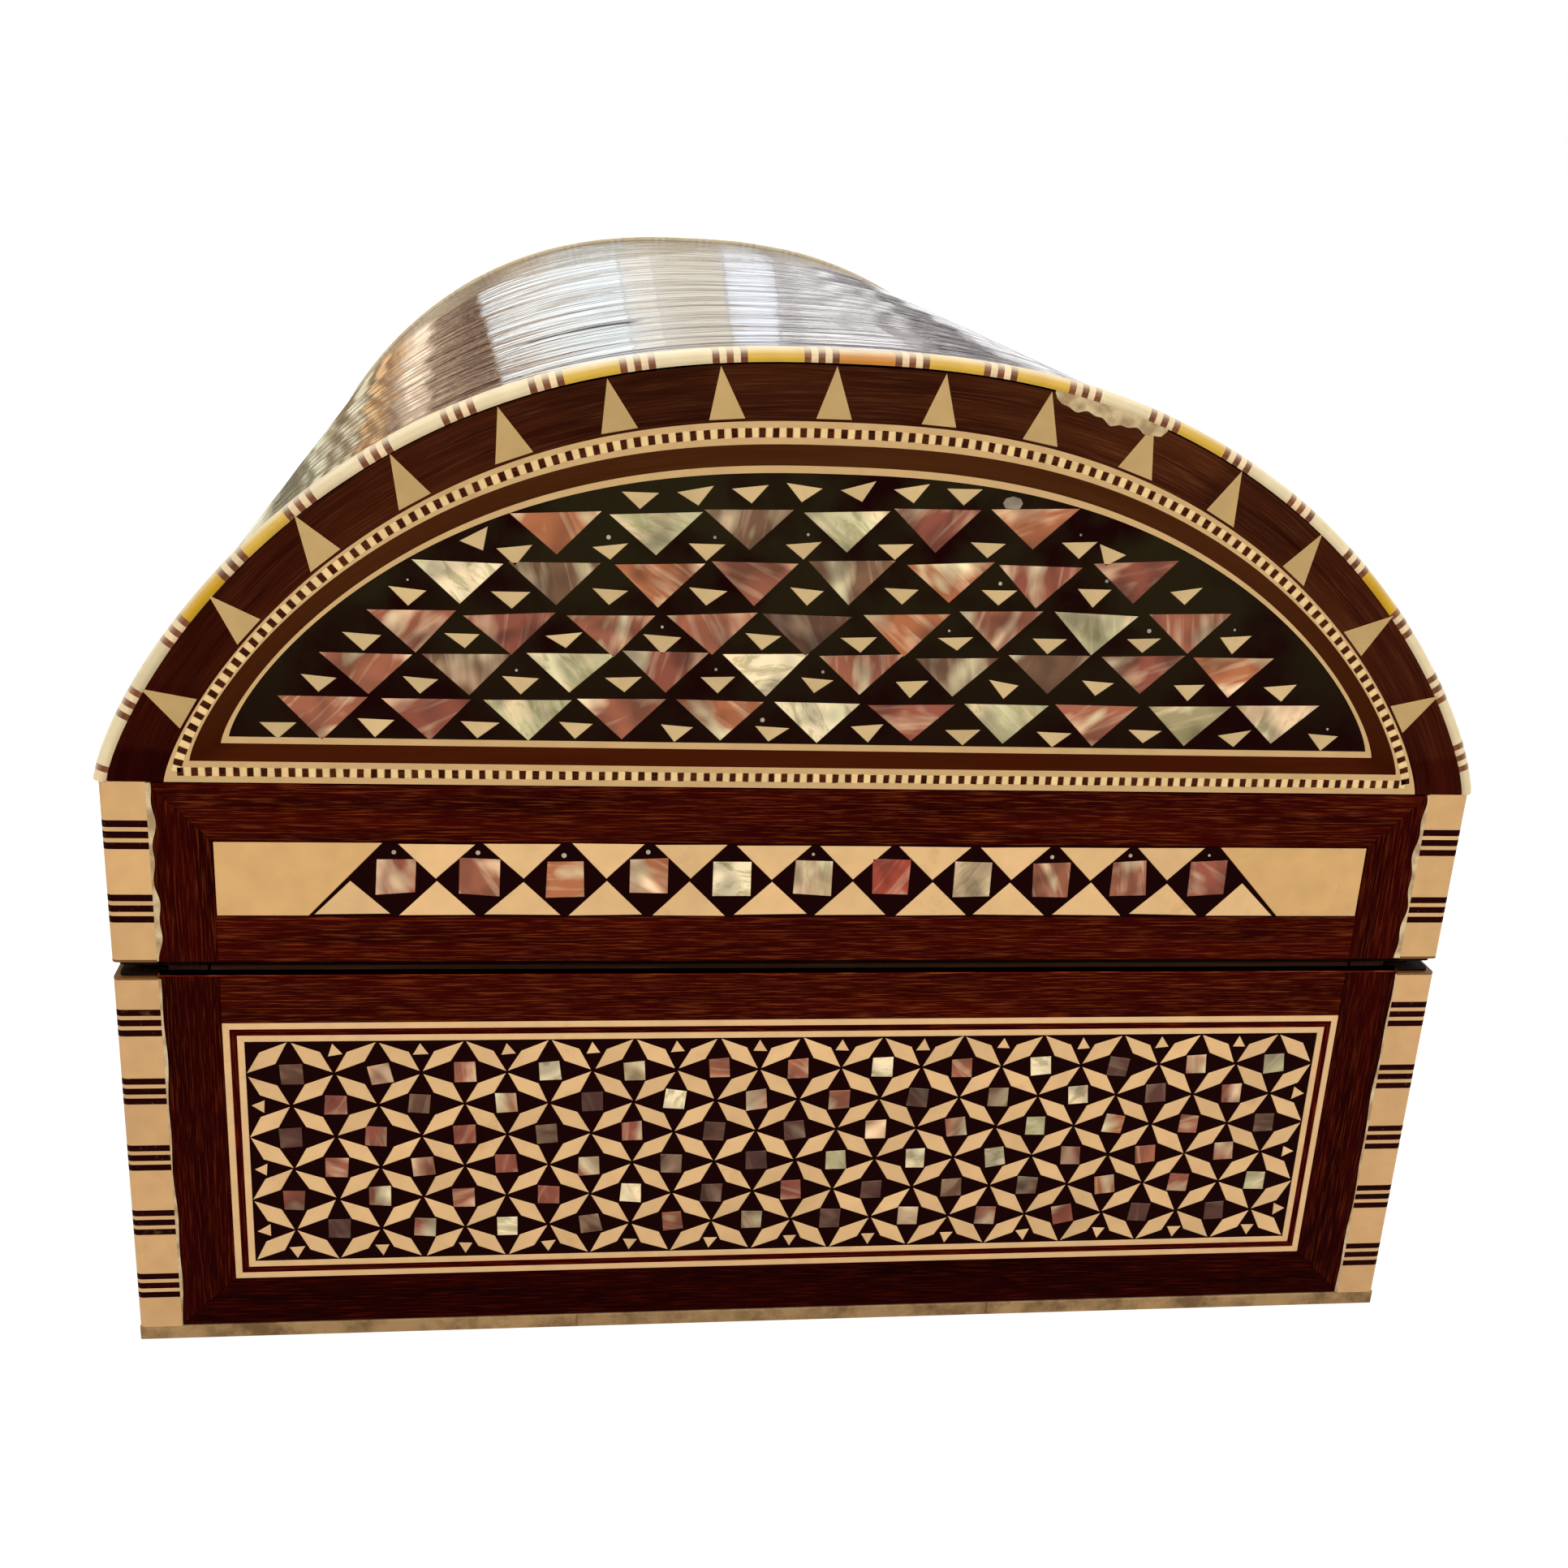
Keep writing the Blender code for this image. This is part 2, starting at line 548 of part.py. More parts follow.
def main():
    for obj in list(bpy.data.objects):
        bpy.data.objects.remove(obj)

    carcass = new_material("carcass_wood", (0.075, 0.022, 0.012), 0.45)
    veneer = new_material("rosewood_veneer", (0.030, 0.005, 0.004), 0.22)
    bone = new_material("bone", (0.76, 0.60, 0.36), 0.35)
    mastic = new_material("black_mastic", (0.010, 0.005, 0.005), 0.25)
    velvet = new_material("velvet", (0.19, 0.006, 0.014), 0.95)
    brass = new_material("brass", (0.62, 0.42, 0.15), 0.32, 1.0)

    pivot = bpy.data.objects.new("lid_pivot", None)
    pivot.location = (HINGE_X, 0.0, HINGE_Z)
    bpy.context.scene.collection.objects.link(pivot)
    bpy.context.view_layer.update()

    base_carcass(carcass)
    base_trim(bone)
    base_panels = base_facing(veneer, mastic, bone)
    base_lining(velvet)
    lid_leaves = hinges(brass)
    boards = lid_carcass(carcass, veneer)
    facings = lid_facing(bone, veneer, mastic)

    for target in (bpy.data.objects["base_wall_back"], base_panels["back"]):
        cut_hinge_pockets(target, -1)
    for target in (boards["back"], facings["panel", "back"]):
        cut_hinge_pockets(target, 1)

    lid = list(boards.values()) + list(facings.values()) + lid_leaves
    lid += lid_arches(bone, veneer, mastic) + lid_lining(velvet)
    for obj in lid:
        hang_on(pivot, obj)


main()
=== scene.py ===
# %% [markdown]
# # A barrel-topped jewellery box with mother-of-pearl inlay
# The box is a small wooden chest with a hinged, arched lid. Its faces are covered with strips of dark
# veneer, bone and black mastic, and hundreds of small pieces of bone and shell are let into the mastic.
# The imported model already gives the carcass, the hinges and the place of every piece. This lesson dresses
# it: each step first says what a piece is on the real box, then makes it. Lengths are written in
# millimetres, and become metres when a mesh is made.

import bpy
import numpy as np
from mathutils import Matrix, Vector


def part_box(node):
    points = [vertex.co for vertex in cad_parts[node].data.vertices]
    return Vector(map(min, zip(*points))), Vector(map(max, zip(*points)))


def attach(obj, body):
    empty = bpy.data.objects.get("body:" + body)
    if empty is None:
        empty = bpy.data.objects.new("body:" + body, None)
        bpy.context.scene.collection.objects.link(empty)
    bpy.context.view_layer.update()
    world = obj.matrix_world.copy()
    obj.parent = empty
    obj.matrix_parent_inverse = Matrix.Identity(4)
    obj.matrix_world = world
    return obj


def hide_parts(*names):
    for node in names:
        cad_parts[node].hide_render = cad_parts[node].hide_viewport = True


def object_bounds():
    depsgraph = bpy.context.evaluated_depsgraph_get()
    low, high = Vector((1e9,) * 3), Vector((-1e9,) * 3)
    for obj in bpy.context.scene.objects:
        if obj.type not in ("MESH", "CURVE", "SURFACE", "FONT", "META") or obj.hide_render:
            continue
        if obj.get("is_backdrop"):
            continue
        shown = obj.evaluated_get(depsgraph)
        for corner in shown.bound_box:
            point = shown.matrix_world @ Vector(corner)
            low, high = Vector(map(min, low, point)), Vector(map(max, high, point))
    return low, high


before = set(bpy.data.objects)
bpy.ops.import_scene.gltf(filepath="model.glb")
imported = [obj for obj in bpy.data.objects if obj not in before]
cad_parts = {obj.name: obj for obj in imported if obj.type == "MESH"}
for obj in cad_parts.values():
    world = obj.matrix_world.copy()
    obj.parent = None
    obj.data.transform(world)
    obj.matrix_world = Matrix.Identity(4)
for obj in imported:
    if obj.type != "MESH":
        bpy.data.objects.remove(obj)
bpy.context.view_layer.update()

MM = 0.001


def span(node):
    """The lowest and the highest corner of a CAD node, in millimetres."""
    return [np.array(corner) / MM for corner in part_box(node)]


HALF_WIDTH, HALF_LENGTH, BASE_TOP = span("base_corner_back_left")[1]
LID_FOOT = span("lid_corner_back_left")[0][2]
SPRING = span("dome_board")[0][2]
CROWN = span("rim_banding_right")[1][2]
print(f"box {2 * HALF_WIDTH:.1f} x {2 * HALF_LENGTH:.1f} x {CROWN:.1f} mm, arch from {SPRING:.1f} mm up")

# %% [markdown]
# ## The camera
# The photograph looks at the right end of the box from a little above and a little to the left. A camera
# could be aimed by eye, but the corners of the box fix it: its place, its turn and its lens were worked
# out so that the corners of the end and the line of the far end fall where the photograph has them.

# %% Camera
YAW, PITCH, ROLL = np.radians((8.089, 19.531, 3.315))
EYE = Vector((-0.02523, -0.24606, 0.11478))


def camera_axes(yaw, pitch, roll):
    """Right, up and backward axes: look along the yaw, tip down by the pitch, then turn about the line
    of sight."""
    ahead = Vector((np.sin(yaw) * np.cos(pitch), np.cos(yaw) * np.cos(pitch), -np.sin(pitch)))
    level = Vector((np.cos(yaw), -np.sin(yaw), 0.0))
    upright = level.cross(ahead)
    right = np.cos(roll) * level + np.sin(roll) * upright
    up = -np.sin(roll) * level + np.cos(roll) * upright
    return right, up, -ahead


def placed(name, data):
    """A new object that shows the given mesh, lamp or camera."""
    thing = bpy.data.objects.new(name, data)
    bpy.context.collection.objects.link(thing)
    return thing


lens = bpy.data.cameras.new("camera")
lens.lens, lens.sensor_width = 40.97, 36.0
lens.clip_start = 0.01
camera = placed("camera", lens)
camera.matrix_world = Matrix.LocRotScale(EYE, Matrix(camera_axes(YAW, PITCH, ROLL)).transposed(), None)
bpy.context.scene.camera = camera
print(f"camera {EYE.length * 1000:.0f} mm from the middle of the underside, {lens.lens} mm lens")

# %% [markdown]
# ## Colours and chance
# Hand-cut pieces are never quite alike, so many of them get a small chance in colour, size or turn. All
# chance comes from one seeded generator, so every run gives the same box. Colours are written as sRGB hex
# values, as they would be picked on a screen, and one function turns them into the linear values that a
# shader needs.

# %% Colours and a seeded generator
dice = np.random.default_rng(1907)


def linear(code):
    """sRGB to linear: c / 12.92 below 0.04045, and ((c + 0.055) / 1.055)^2.4 above it."""
    channel = np.array([int(code[at:at + 2], 16) for at in (1, 3, 5)]) / 255
    return np.where(channel <= 0.04045, channel / 12.92, ((channel + 0.055) / 1.055) ** 2.4)


def socket_colour(code):
    """A hex colour as the four numbers of a colour socket."""
    return (*linear(code), 1.0)


def varied(code, count, spread=0.05):
    """One colour per piece: the same colour times a brightness spread normally around 1."""
    return linear(code) * (1 + spread * dice.normal(size=(count, 1))).clip(0.75, 1.25)


print("bone is", np.round(linear("#E6CFA2"), 3), "in linear light")

# %% [markdown]
# ## Inlay tiles
# Nearly everything on this box is a thin flat piece with straight edges: veneer strips, bone lozenges,
# shell squares. Each could be a cube pushed into shape, but there are thousands. Here one function makes
# any number of them at once: it stacks three rings of every outline into a low block whose upper edge is
# softened, which is what scraping and lacquer do to an inlaid piece. A second function carries a flat
# strip along two loops, for the curved lines round the arch.

# %% Tiles
FAR = 300                         # a piece takes its pattern from anywhere on a sheet of so many millimetres


def left_of(way):
    """Directions turned a quarter turn to the left: (x, y) becomes (-y, x)."""
    return np.stack([-way[..., 1], way[..., 0]], -1)


def measured(path, closed=False):
    """The points of a path, with the first one again if it is closed, and the length walked up to
    each."""
    ends = np.vstack([path, path[:1]]) if closed else path
    return ends, np.concatenate([[0], np.cumsum(np.linalg.norm(np.diff(ends, axis=0), axis=1))])


def tiles(corners, tint, top=0.0, bottom=-1.2, bevel=0.06, grain=0.0, seat=None):
    """Blocks from outlines (pieces, corners, 2). Ring one is the outline moved in by the bevel along
    the mitre (n1 + n2) / (1 + n1.n2) of its two edge normals, at the top; ring two is the outline one
    bevel lower; ring three is the outline at the bottom. The pattern plane is turned by grain, and
    seat joins pieces of one strip."""
    corners = np.asarray(corners, float)
    count, sides = corners.shape[:2]
    ahead = np.roll(corners, -1, 1)
    area = (corners[..., 0] * ahead[..., 1] - ahead[..., 0] * corners[..., 1]).sum(1)
    corners = np.where((area < 0)[:, None, None], corners[:, ::-1], corners)
    edge = np.roll(corners, -1, 1) - corners
    edge /= np.linalg.norm(edge, axis=2, keepdims=True)
    inward = left_of(edge)
    before = np.roll(inward, 1, 1)
    mitre = (before + inward) / (1 + (before * inward).sum(2, keepdims=True))
    high, low = [np.broadcast_to(np.asarray(h, float).reshape(-1, 1), (count, sides)) for h in (top, bottom)]
    rings = [np.dstack([corners + bevel * mitre, high]), np.dstack([corners, high - bevel]),
             np.dstack([corners, low])]
    points = np.stack(rings, 1).reshape(-1, 3)

    turn = np.broadcast_to(np.asarray(grain, float), (count,))
    middle = np.zeros((count, 2)) if seat is not None else corners.mean(1)
    shift = np.tile(seat, (count, 1)) if seat is not None else dice.uniform(0, FAR, (count, 2))
    flat = points[:, :2].reshape(count, 3 * sides, 2) - middle[:, None]
    cos, sin = np.cos(turn)[:, None], np.sin(turn)[:, None]
    u, v = flat[..., 0], flat[..., 1]
    plane = np.stack([u * cos + v * sin, v * cos - u * sin], -1)
    plane = (plane + shift[:, None]).reshape(-1, 2)

    start = 3 * sides * np.arange(count)[:, None]
    ring = np.arange(sides)
    after = np.roll(ring, -1)
    wall = np.stack([ring, ring + sides, after + sides, after], -1)
    walls = [(start[..., None] + wall + lift).reshape(-1, 4) for lift in (0, sides)]
    faces = [start + ring, *walls, start + 2 * sides + ring[::-1]]
    shades = np.repeat(np.broadcast_to(np.asarray(tint, float), (count, 3)), 3 * sides, 0)
    return {"points": points, "faces": [(f, plane[f]) for f in faces], "tint": shades}


def band(outer, inner, tint, top=0.0, bottom=-1.2, closed=True):
    """A strip between two loops (steps, 2) walked anticlockwise: the section outer foot, outer edge,
    inner edge, inner foot is carried along them. Its pattern runs with the length walked so far."""
    steps = len(outer)
    high, low = np.full((steps, 1), top), np.full((steps, 1), bottom)
    section = [np.hstack(pair) for pair in ((outer, low), (outer, high), (inner, high), (inner, low))]
    points = np.stack(section, 1).reshape(-1, 3)
    walked = measured((outer + inner) / 2, closed)[1]
    width = np.linalg.norm(outer - inner, axis=1).mean()
    across = np.array([bottom - top, 0, width, width + top - bottom, 2 * (width + top - bottom)])
    here = np.arange(steps if closed else steps - 1)[:, None]
    there = (here + 1) % steps
    side = np.arange(4)[None]
    over = (side + 1) % 4
    corners = 4 * here + side, 4 * there + side, 4 * there + over, 4 * here + over
    faces = np.stack(corners, -1).reshape(-1, 4)
    start, end, foot, head = walked[here], walked[here + 1], across[side], across[side + 1]
    run = np.stack([start, end, end, start], -1) + 0 * side[..., None]
    rise = np.stack([foot, foot, head, head], -1) + 0 * run
    sheets = [(faces, (np.stack([run, rise], -1) + dice.uniform(0, FAR, 2)).reshape(-1, 4, 2))]
    if not closed:
        caps = np.stack([np.arange(4), 4 * (steps - 1) + np.arange(4)[::-1]])
        sheets.append((caps, points[caps][..., :2]))
    shades = np.broadcast_to(np.asarray(tint, float).reshape(-1, 1, 3), (steps, 4, 3)).reshape(-1, 3)
    return {"points": points, "faces": sheets, "tint": shades}


sample = tiles([[(0, 0), (5, 0), (5, 2), (0, 2)]], linear("#E6CFA2"))
print("one tile has", len(sample["points"]), "points and", sum(len(f) for f, _ in sample["faces"]), "faces")

# %% [markdown]
# ## From parts to a piece of the box
# A face of the box is a flat drawing: across, up, and out of the face. Four small frames say where each
# of those drawings sits. One function joins the parts of a piece, puts them in their place, writes the
# pattern map and the colour of each part into the mesh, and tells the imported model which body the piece
# rides on.

# %% Faces and pieces
FACES = {
    "right": ((0, -HALF_LENGTH, 0), (1, 0, 0), (0, 0, 1), (0, -1, 0)),
    "left": ((0, HALF_LENGTH, 0), (-1, 0, 0), (0, 0, 1), (0, 1, 0)),
    "front": ((-HALF_WIDTH, 0, 0), (0, -1, 0), (0, 0, 1), (-1, 0, 0)),
    "back": ((HALF_WIDTH, 0, 0), (0, 1, 0), (0, 0, 1), (1, 0, 0)),
    "plan": ((0, 0, 0), (1, 0, 0), (0, 1, 0), (0, 0, 1)),
}
ENDS = ("right", "left")
made = {}


def lay(name, parts, material, body, face="plan", stands_for=(), smooth=False):
    """Joins parts into one mesh object. A drawn point (across, up, out) goes to origin + across U + up
    V + out N."""
    origin, *axes = FACES[face]
    drawn = np.concatenate([part["points"] for part in parts])
    points = drawn @ np.array(axes, float) + np.array(origin, float)
    rows, plane, start = [], [], 0
    for part in parts:
        for faces, pattern in part["faces"]:
            rows += (faces + start).tolist()
            plane.append(pattern.reshape(-1, 2))
        start += len(part["points"])
    mesh = bpy.data.meshes.new(name)
    mesh.from_pydata((points * MM).tolist(), [], rows)
    layer = mesh.uv_layers.new(name="grain")
    layer.data.foreach_set("uv", (np.concatenate(plane) * MM).astype(np.float32).ravel())
    shade = mesh.attributes.new("tint", "FLOAT_COLOR", "POINT")
    shades = np.concatenate([part["tint"] for part in parts])
    shade.data.foreach_set("color", np.hstack([shades, np.ones((start, 1))]).astype(np.float32).ravel())
    mesh.polygons.foreach_set("use_smooth", np.full(len(mesh.polygons), smooth))
    mesh.materials.append(material)
    piece = placed(name, mesh)
    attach(piece, body)
    if stands_for:
        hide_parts(*stands_for)
    made[name] = len(mesh.polygons)
    return piece


def rectangle(low_u, high_u, low_v, high_v):
    """The four corners of an upright rectangle."""
    return [(low_u, low_v), (high_u, low_v), (high_u, high_v), (low_u, high_v)]


print("faces:", ", ".join(FACES))

# %% [markdown]
# ## Building a material
# A material is a small graph of nodes. One helper adds a node with its settings and its links, and a few
# short ones built on it say in a word what a node is for: where a pattern is read, a noise, a ramp, a mix
# of two colours, a relief. Patterns read the box's own coordinates in metres, or the pattern map that was
# written into a piece, so a scale is simply one divided by the real size of the feature.

# %% Nodes
def blank(name):
    """An empty node material."""
    material = bpy.data.materials.new(name)
    material.use_nodes = True
    material.node_tree.nodes.clear()
    return material


def put(material, kind, inputs=None, **settings):
    """Adds one node: settings are its properties, and inputs its sockets, each given a value or a
    link."""
    tree = material.node_tree
    node = tree.nodes.new("ShaderNode" + kind)
    for name, value in settings.items():
        setattr(node, name, value)
    for socket, value in (inputs or {}).items():
        if isinstance(value, bpy.types.NodeSocket):
            tree.links.new(value, node.inputs[socket])
        else:
            node.inputs[socket].default_value = value
    return node


def per_metre(*sizes_mm):
    """Pattern scale whose features have the given sizes in millimetres along each axis."""
    return tuple(1 / (size * MM) for size in sizes_mm)


def on_box(material):
    """Place in the box's own coordinates."""
    return put(material, "TexCoord").outputs["Object"]


def on_piece(material):
    """Place on the pattern map of the piece."""
    return put(material, "UVMap", uv_map="grain").outputs["UV"]


def own_colour(material):
    """Colour that was written into the piece."""
    return put(material, "Attribute", attribute_name="tint").outputs["Color"]


def stretched(material, place, *sizes_mm):
    """Place measured in units of the given sizes along each axis."""
    return put(material, "Mapping", {"Vector": place, "Scale": per_metre(*sizes_mm)}).outputs[0]


def noise(material, place, detail, size_mm=None, **more):
    """Noise with features of the given size, or of one unit of a stretched place."""
    scale = per_metre(size_mm)[0] if size_mm else 1.0
    return put(material, "TexNoise", {"Vector": place, "Scale": scale, "Detail": detail, **more}).outputs[0]


def ramp(material, value, low=0.0, high=1.0, start=0.0, end=1.0):
    """Straight ramp from start, where the value is low, to end, where it is high; held beyond both."""
    return put(material, "MapRange", {"Value": value, "From Min": low, "From Max": high, "To Min": start,
                                      "To Max": end}).outputs[0]


def compute(material, operation, first, second=0.0):
    """One step of arithmetic."""
    return put(material, "Math", {0: first, 1: second}, operation=operation).outputs[0]


def mix(material, share, first, second, **settings):
    """First colour mixed with the second by a share. Each is a hex colour or a link."""
    first, second = [socket_colour(c) if isinstance(c, str) else c for c in (first, second)]
    return put(material, "Mix", {0: share, 6: first, 7: second}, data_type="RGBA", **settings).outputs[2]


def multiply(material, first, second):
    """Product of two colours, or of a colour and a number."""
    return mix(material, 1.0, first, second, blend_type="MULTIPLY")


def relief(material, height, strength, deep_mm, **more):
    """Direction of a surface that a pattern lifts by as much as deep_mm."""
    return put(material, "Bump", {"Height": height, "Strength": strength, "Distance": deep_mm * MM,
                                  **more}).outputs[0]


def surfaced(material, inputs, kind="BsdfPrincipled"):
    """Ends a material with its surface shader."""
    put(material, "OutputMaterial", {"Surface": put(material, kind, inputs).outputs[0]})
    return material


print("a 0.2 mm fibre needs a scale of", per_metre(0.2)[0])

# %% [markdown]
# ## Veneer
# The strips are rosewood or a stained wood like it, sawn thin, glued on with the grain along each strip,
# scraped flush and lacquered. The eye sees a very dark red-brown with short lighter fibres. An image of
# wood would do, but noise stretched along the grain gives the same fibres at any size: a broad figure
# some 30 mm long, and fibres about 5 mm long and a sixth of a millimetre wide. The lacquer here is thin
# and clear, so the shader keeps a low specular level and the dark wood stays dark beside a pale floor.
# The bands that follow the arch are a browner wood, like walnut, and the inner one has so close a grain
# that it looks plain; both are made in the same way with other colours and sizes.

# %% Veneer and carcass wood
def wood(name, colours, sizes, rough, specular, bump, tinted=True, along=None):
    """Mixes the first two colours by a broad figure, then the third where a fine stretched noise is
    high. Sizes are the figure's and the fibre's length and width in millimetres. Along is an axis, or
    None for the pattern map."""
    material = blank(name)
    place = on_piece(material) if along is None else on_box(material)
    ways = []
    for length, width in sizes:
        scale = [width, width, width]
        scale[along or 0] = length
        ways.append(stretched(material, place, *scale))
    figure = noise(material, ways[0], 3.0, Distortion=0.4)
    fibres = noise(material, ways[1], 4.0, Roughness=0.6)
    ground = mix(material, ramp(material, figure, 0.32, 0.68), *colours[:2])
    colour = mix(material, ramp(material, fibres, 0.5, 0.78, end=0.75), ground, colours[2])
    if tinted:
        colour = multiply(material, colour, own_colour(material))
    return surfaced(material, {"Base Color": colour, "IOR": 1.5, "Specular IOR Level": specular,
                               "Roughness": ramp(material, fibres, start=rough - 0.06, end=rough + 0.12),
                               "Normal": relief(material, fibres, 0.5, bump)})


LACQUERED = {"rough": 0.3, "specular": 0.008}
veneer = wood("lacquered rosewood veneer", ("#240201", "#3A0602", "#8C421C"), ((30, 2.2), (4.5, 0.17)),
              bump=0.012, **LACQUERED)
walnut = wood("lacquered walnut veneer", ("#2B0D06", "#45210F", "#603A22"), ((24, 1.6), (6, 0.16)),
              bump=0.012, **LACQUERED)
plain_walnut = wood("close-grained walnut veneer", ("#411E0A", "#4B2610", "#57331A"), ((40, 4), (14, 0.12)),
                    bump=0.006, **LACQUERED)
BOARD = {"colours": ("#3A1E12", "#5A3420", "#7A4E30"), "sizes": ((60, 5), (9, 0.4)), "rough": 0.55,
         "specular": 0.3, "bump": 0.03, "tinted": False}
board_across = wood("stained carcass wood, grain across the box", along=0, **BOARD)
board_along = wood("stained carcass wood, grain along the box", along=1, **BOARD)
print("woods:", " | ".join(m.name for m in (veneer, walnut, plain_walnut, board_across, board_along)))

# %% [markdown]
# ## Bone
# The pale pieces are camel bone, sawn, filed and polished. Bone is cream with a faint mottle, fine dark
# dots where its canals are cut, and small yellowed stains. Each piece brings its own cream or amber, so
# the shader only lays the mottle, the dots and the stains over the colour written in the mesh. The dark
# slices between the blocks are stained wood that takes no polish, so the darkest colours get almost no
# sheen. The strips along the foot are darker, with large brown patches.

# %% Bone
def bone_material(name, stained, most, brown):
    """Mottle and canal dots over the piece's colour, then brown where a noise passes the two values of
    stained, by at most the share most. The sheen falls away where the piece's colour is very dark."""
    material = blank(name)
    spot, tint = on_box(material), own_colour(material)
    mottle = noise(material, spot, 4.0, 2.4)
    canals = noise(material, spot, 2.0, 0.28)
    stain = noise(material, spot, 5.0, 7, Roughness=0.7)
    mottled = multiply(material, tint, ramp(material, mottle, 0.3, 0.7, 0.93, 1.05))
    dotted = mix(material, ramp(material, canals, 0.66, 0.8, end=0.2), mottled, "#B08A55")
    aged = mix(material, ramp(material, stain, *stained, end=most), dotted, brown)
    pale = put(material, "RGBToBW", {"Color": tint}).outputs[0]
    return surfaced(material, {"Base Color": aged, "Roughness": ramp(material, mottle, start=0.24, end=0.46),
                               "Normal": relief(material, canals, 0.3, 0.01), "IOR": 1.55,
                               "Specular IOR Level": ramp(material, pale, 0.005, 0.05, 0.01, 0.12)})


bone = bone_material("polished camel bone", (0.6, 0.78), 0.5, "#9C7440")
rough_bone = bone_material("rough stained bone", (0.44, 0.62), 0.85, "#5E4426")
print("materials:", bone.name, "|", rough_bone.name)

# %% [markdown]
# ## Mother-of-pearl
# The shell is cut from trochus or abalone and ground flat. Its layers are cut at a slant, so a piece
# shows soft clouds that run from rose-brown to green and silver, and no two pieces match. Each piece
# brings its own ground colour and its own turn of the pattern map. The shell's glints are painted into its
# colour as pale clouds, a painted highlight: one broad noise says where a cloud glints, a second says
# whether the glint is green or rosy, and a third darkens the folds and ripples the polish. A noise drawn
# out to fine straight streaks gives the growth lines. Dark pieces come from the outer layers of the shell
# and glint little, so the painted glints and the lines are weighted by the brightness of the ground colour.
# Pale pieces are cut where the layers are thin, and the next layer shows through in crinkled olive veins.

# %% Shell
shell = blank("ground mother-of-pearl")
place, tint = on_piece(shell), own_colour(shell)
layers = noise(shell, stretched(shell, place, 7, 3.2, 1), 2.5, Distortion=0.3)
lines = noise(shell, stretched(shell, place, 9, 0.8, 1), 3.0, Distortion=0.3)
crinkle = noise(shell, stretched(shell, place, 3, 1.1, 1), 4.0, Roughness=0.6, Distortion=1.0)
folds = noise(shell, place, 1.0, 3.6, Distortion=0.4)
hue = noise(shell, place, 0.0, 7)
ground = put(shell, "RGBToBW", {"Color": tint}).outputs[0]
weight = ramp(shell, ground, 0.04, 0.14, start=0.15)
# Painted glints: the shell's iridescence laid into its colour as pale green or rosy clouds.
painted_glint = mix(shell, ramp(shell, hue, 0.42, 0.58), "#EEEABE", "#FAD8B0")
bright = compute(shell, "MULTIPLY", ramp(shell, layers, 0.5, 0.69, end=0.9), weight)
clouded = mix(shell, bright, tint, painted_glint)
grown = compute(shell, "MULTIPLY", ramp(shell, lines, 0.53, 0.68, end=0.3), weight)
lined = mix(shell, grown, clouded, "#F0D3B0")
vein = compute(shell, "MULTIPLY", ramp(shell, crinkle, 0.5, 0.62, end=0.6), ramp(shell, ground, 0.16, 0.4))
veined = mix(shell, vein, lined, "#8E8A58")
folded = multiply(shell, veined, ramp(shell, folds, 0.32, 0.58, 0.55, 1.12))
surfaced(shell, {"Base Color": folded, "Roughness": 0.22, "IOR": 1.55, "Specular IOR Level": 0.12,
                 "Normal": relief(shell, folds, 0.4, 0.05)})
print("material:", shell.name)

# %% [markdown]
# ## Black mastic
# The pieces are bedded in a black paste of glue, soot and fine filler, scraped flush and lacquered. It is
# almost black and reddish, with a soft sheen and scraping marks. In places towards the crown of the lid
# it is painted a little green: a painted reflection. The height in the box says where that green may show,
# and a noise says where it does.

# %% Mastic
REFLECTION_FROM, REFLECTION_FULL = 55, 82   # heights between which a green painted reflection may show
mastic = blank("scraped black mastic")
spot = on_box(mastic)
patch = noise(mastic, spot, 4.0, 9)
scrape = noise(mastic, spot, 4.0, 0.5, Roughness=0.7)
height = put(mastic, "SeparateXYZ", {"Vector": spot}).outputs["Z"]
green_reflection_by_height = ramp(mastic, height, REFLECTION_FROM * MM, REFLECTION_FULL * MM)
# Green in patches towards the crown is a painted reflection.
green = compute(mastic, "MULTIPLY", ramp(mastic, patch, 0.35, 0.55), green_reflection_by_height)
paste = mix(mastic, green, "#150202", "#211C0E")
dusty = mix(mastic, ramp(mastic, scrape, 0.6, 0.85, end=0.06), paste, "#5A4A3C")
surfaced(mastic, {"Base Color": dusty, "Roughness": ramp(mastic, scrape, start=0.25, end=0.5), "IOR": 1.5,
                  "Specular IOR Level": 0.012, "Normal": relief(mastic, scrape, 0.5, 0.02)})
print("material:", mastic.name)

# %% [markdown]
# ## The veneer frames
# Each end and each long side carries a frame of veneer round its inlay, on the base and again on the lid.
# A maker cuts four strips and fits their corners: on the base the top rail butts between the stiles and
# the lower corners are mitred, and on the lid it is the other way round. A dark red line lies in the
# middle of the stringing round the base's field, and it is cut from the same wood.

# %% Measures of the frames
SEAT = 0.15                       # half a CAD seam, by which a dressed piece grows to meet its neighbour
STILE = 5.5
BASE_RAIL = (5.4, 5.0)            # lower and upper rail of the base's frame
LID_RAIL = (5.0, 5.6)
STRIP = 4.0                       # corner strip on each face
FOOT = 1.5                        # bone strip along the foot
HINGE_MIDDLES = (-50.0, 50.0)
POCKET_HALF = 10.3                # half width of the room left for a hinge
POCKETS = {"base": 38.4, "lid": 42.5}    # height to which that room is cut into each back rail
JOINT = 40.5                      # height of the joint between base and lid


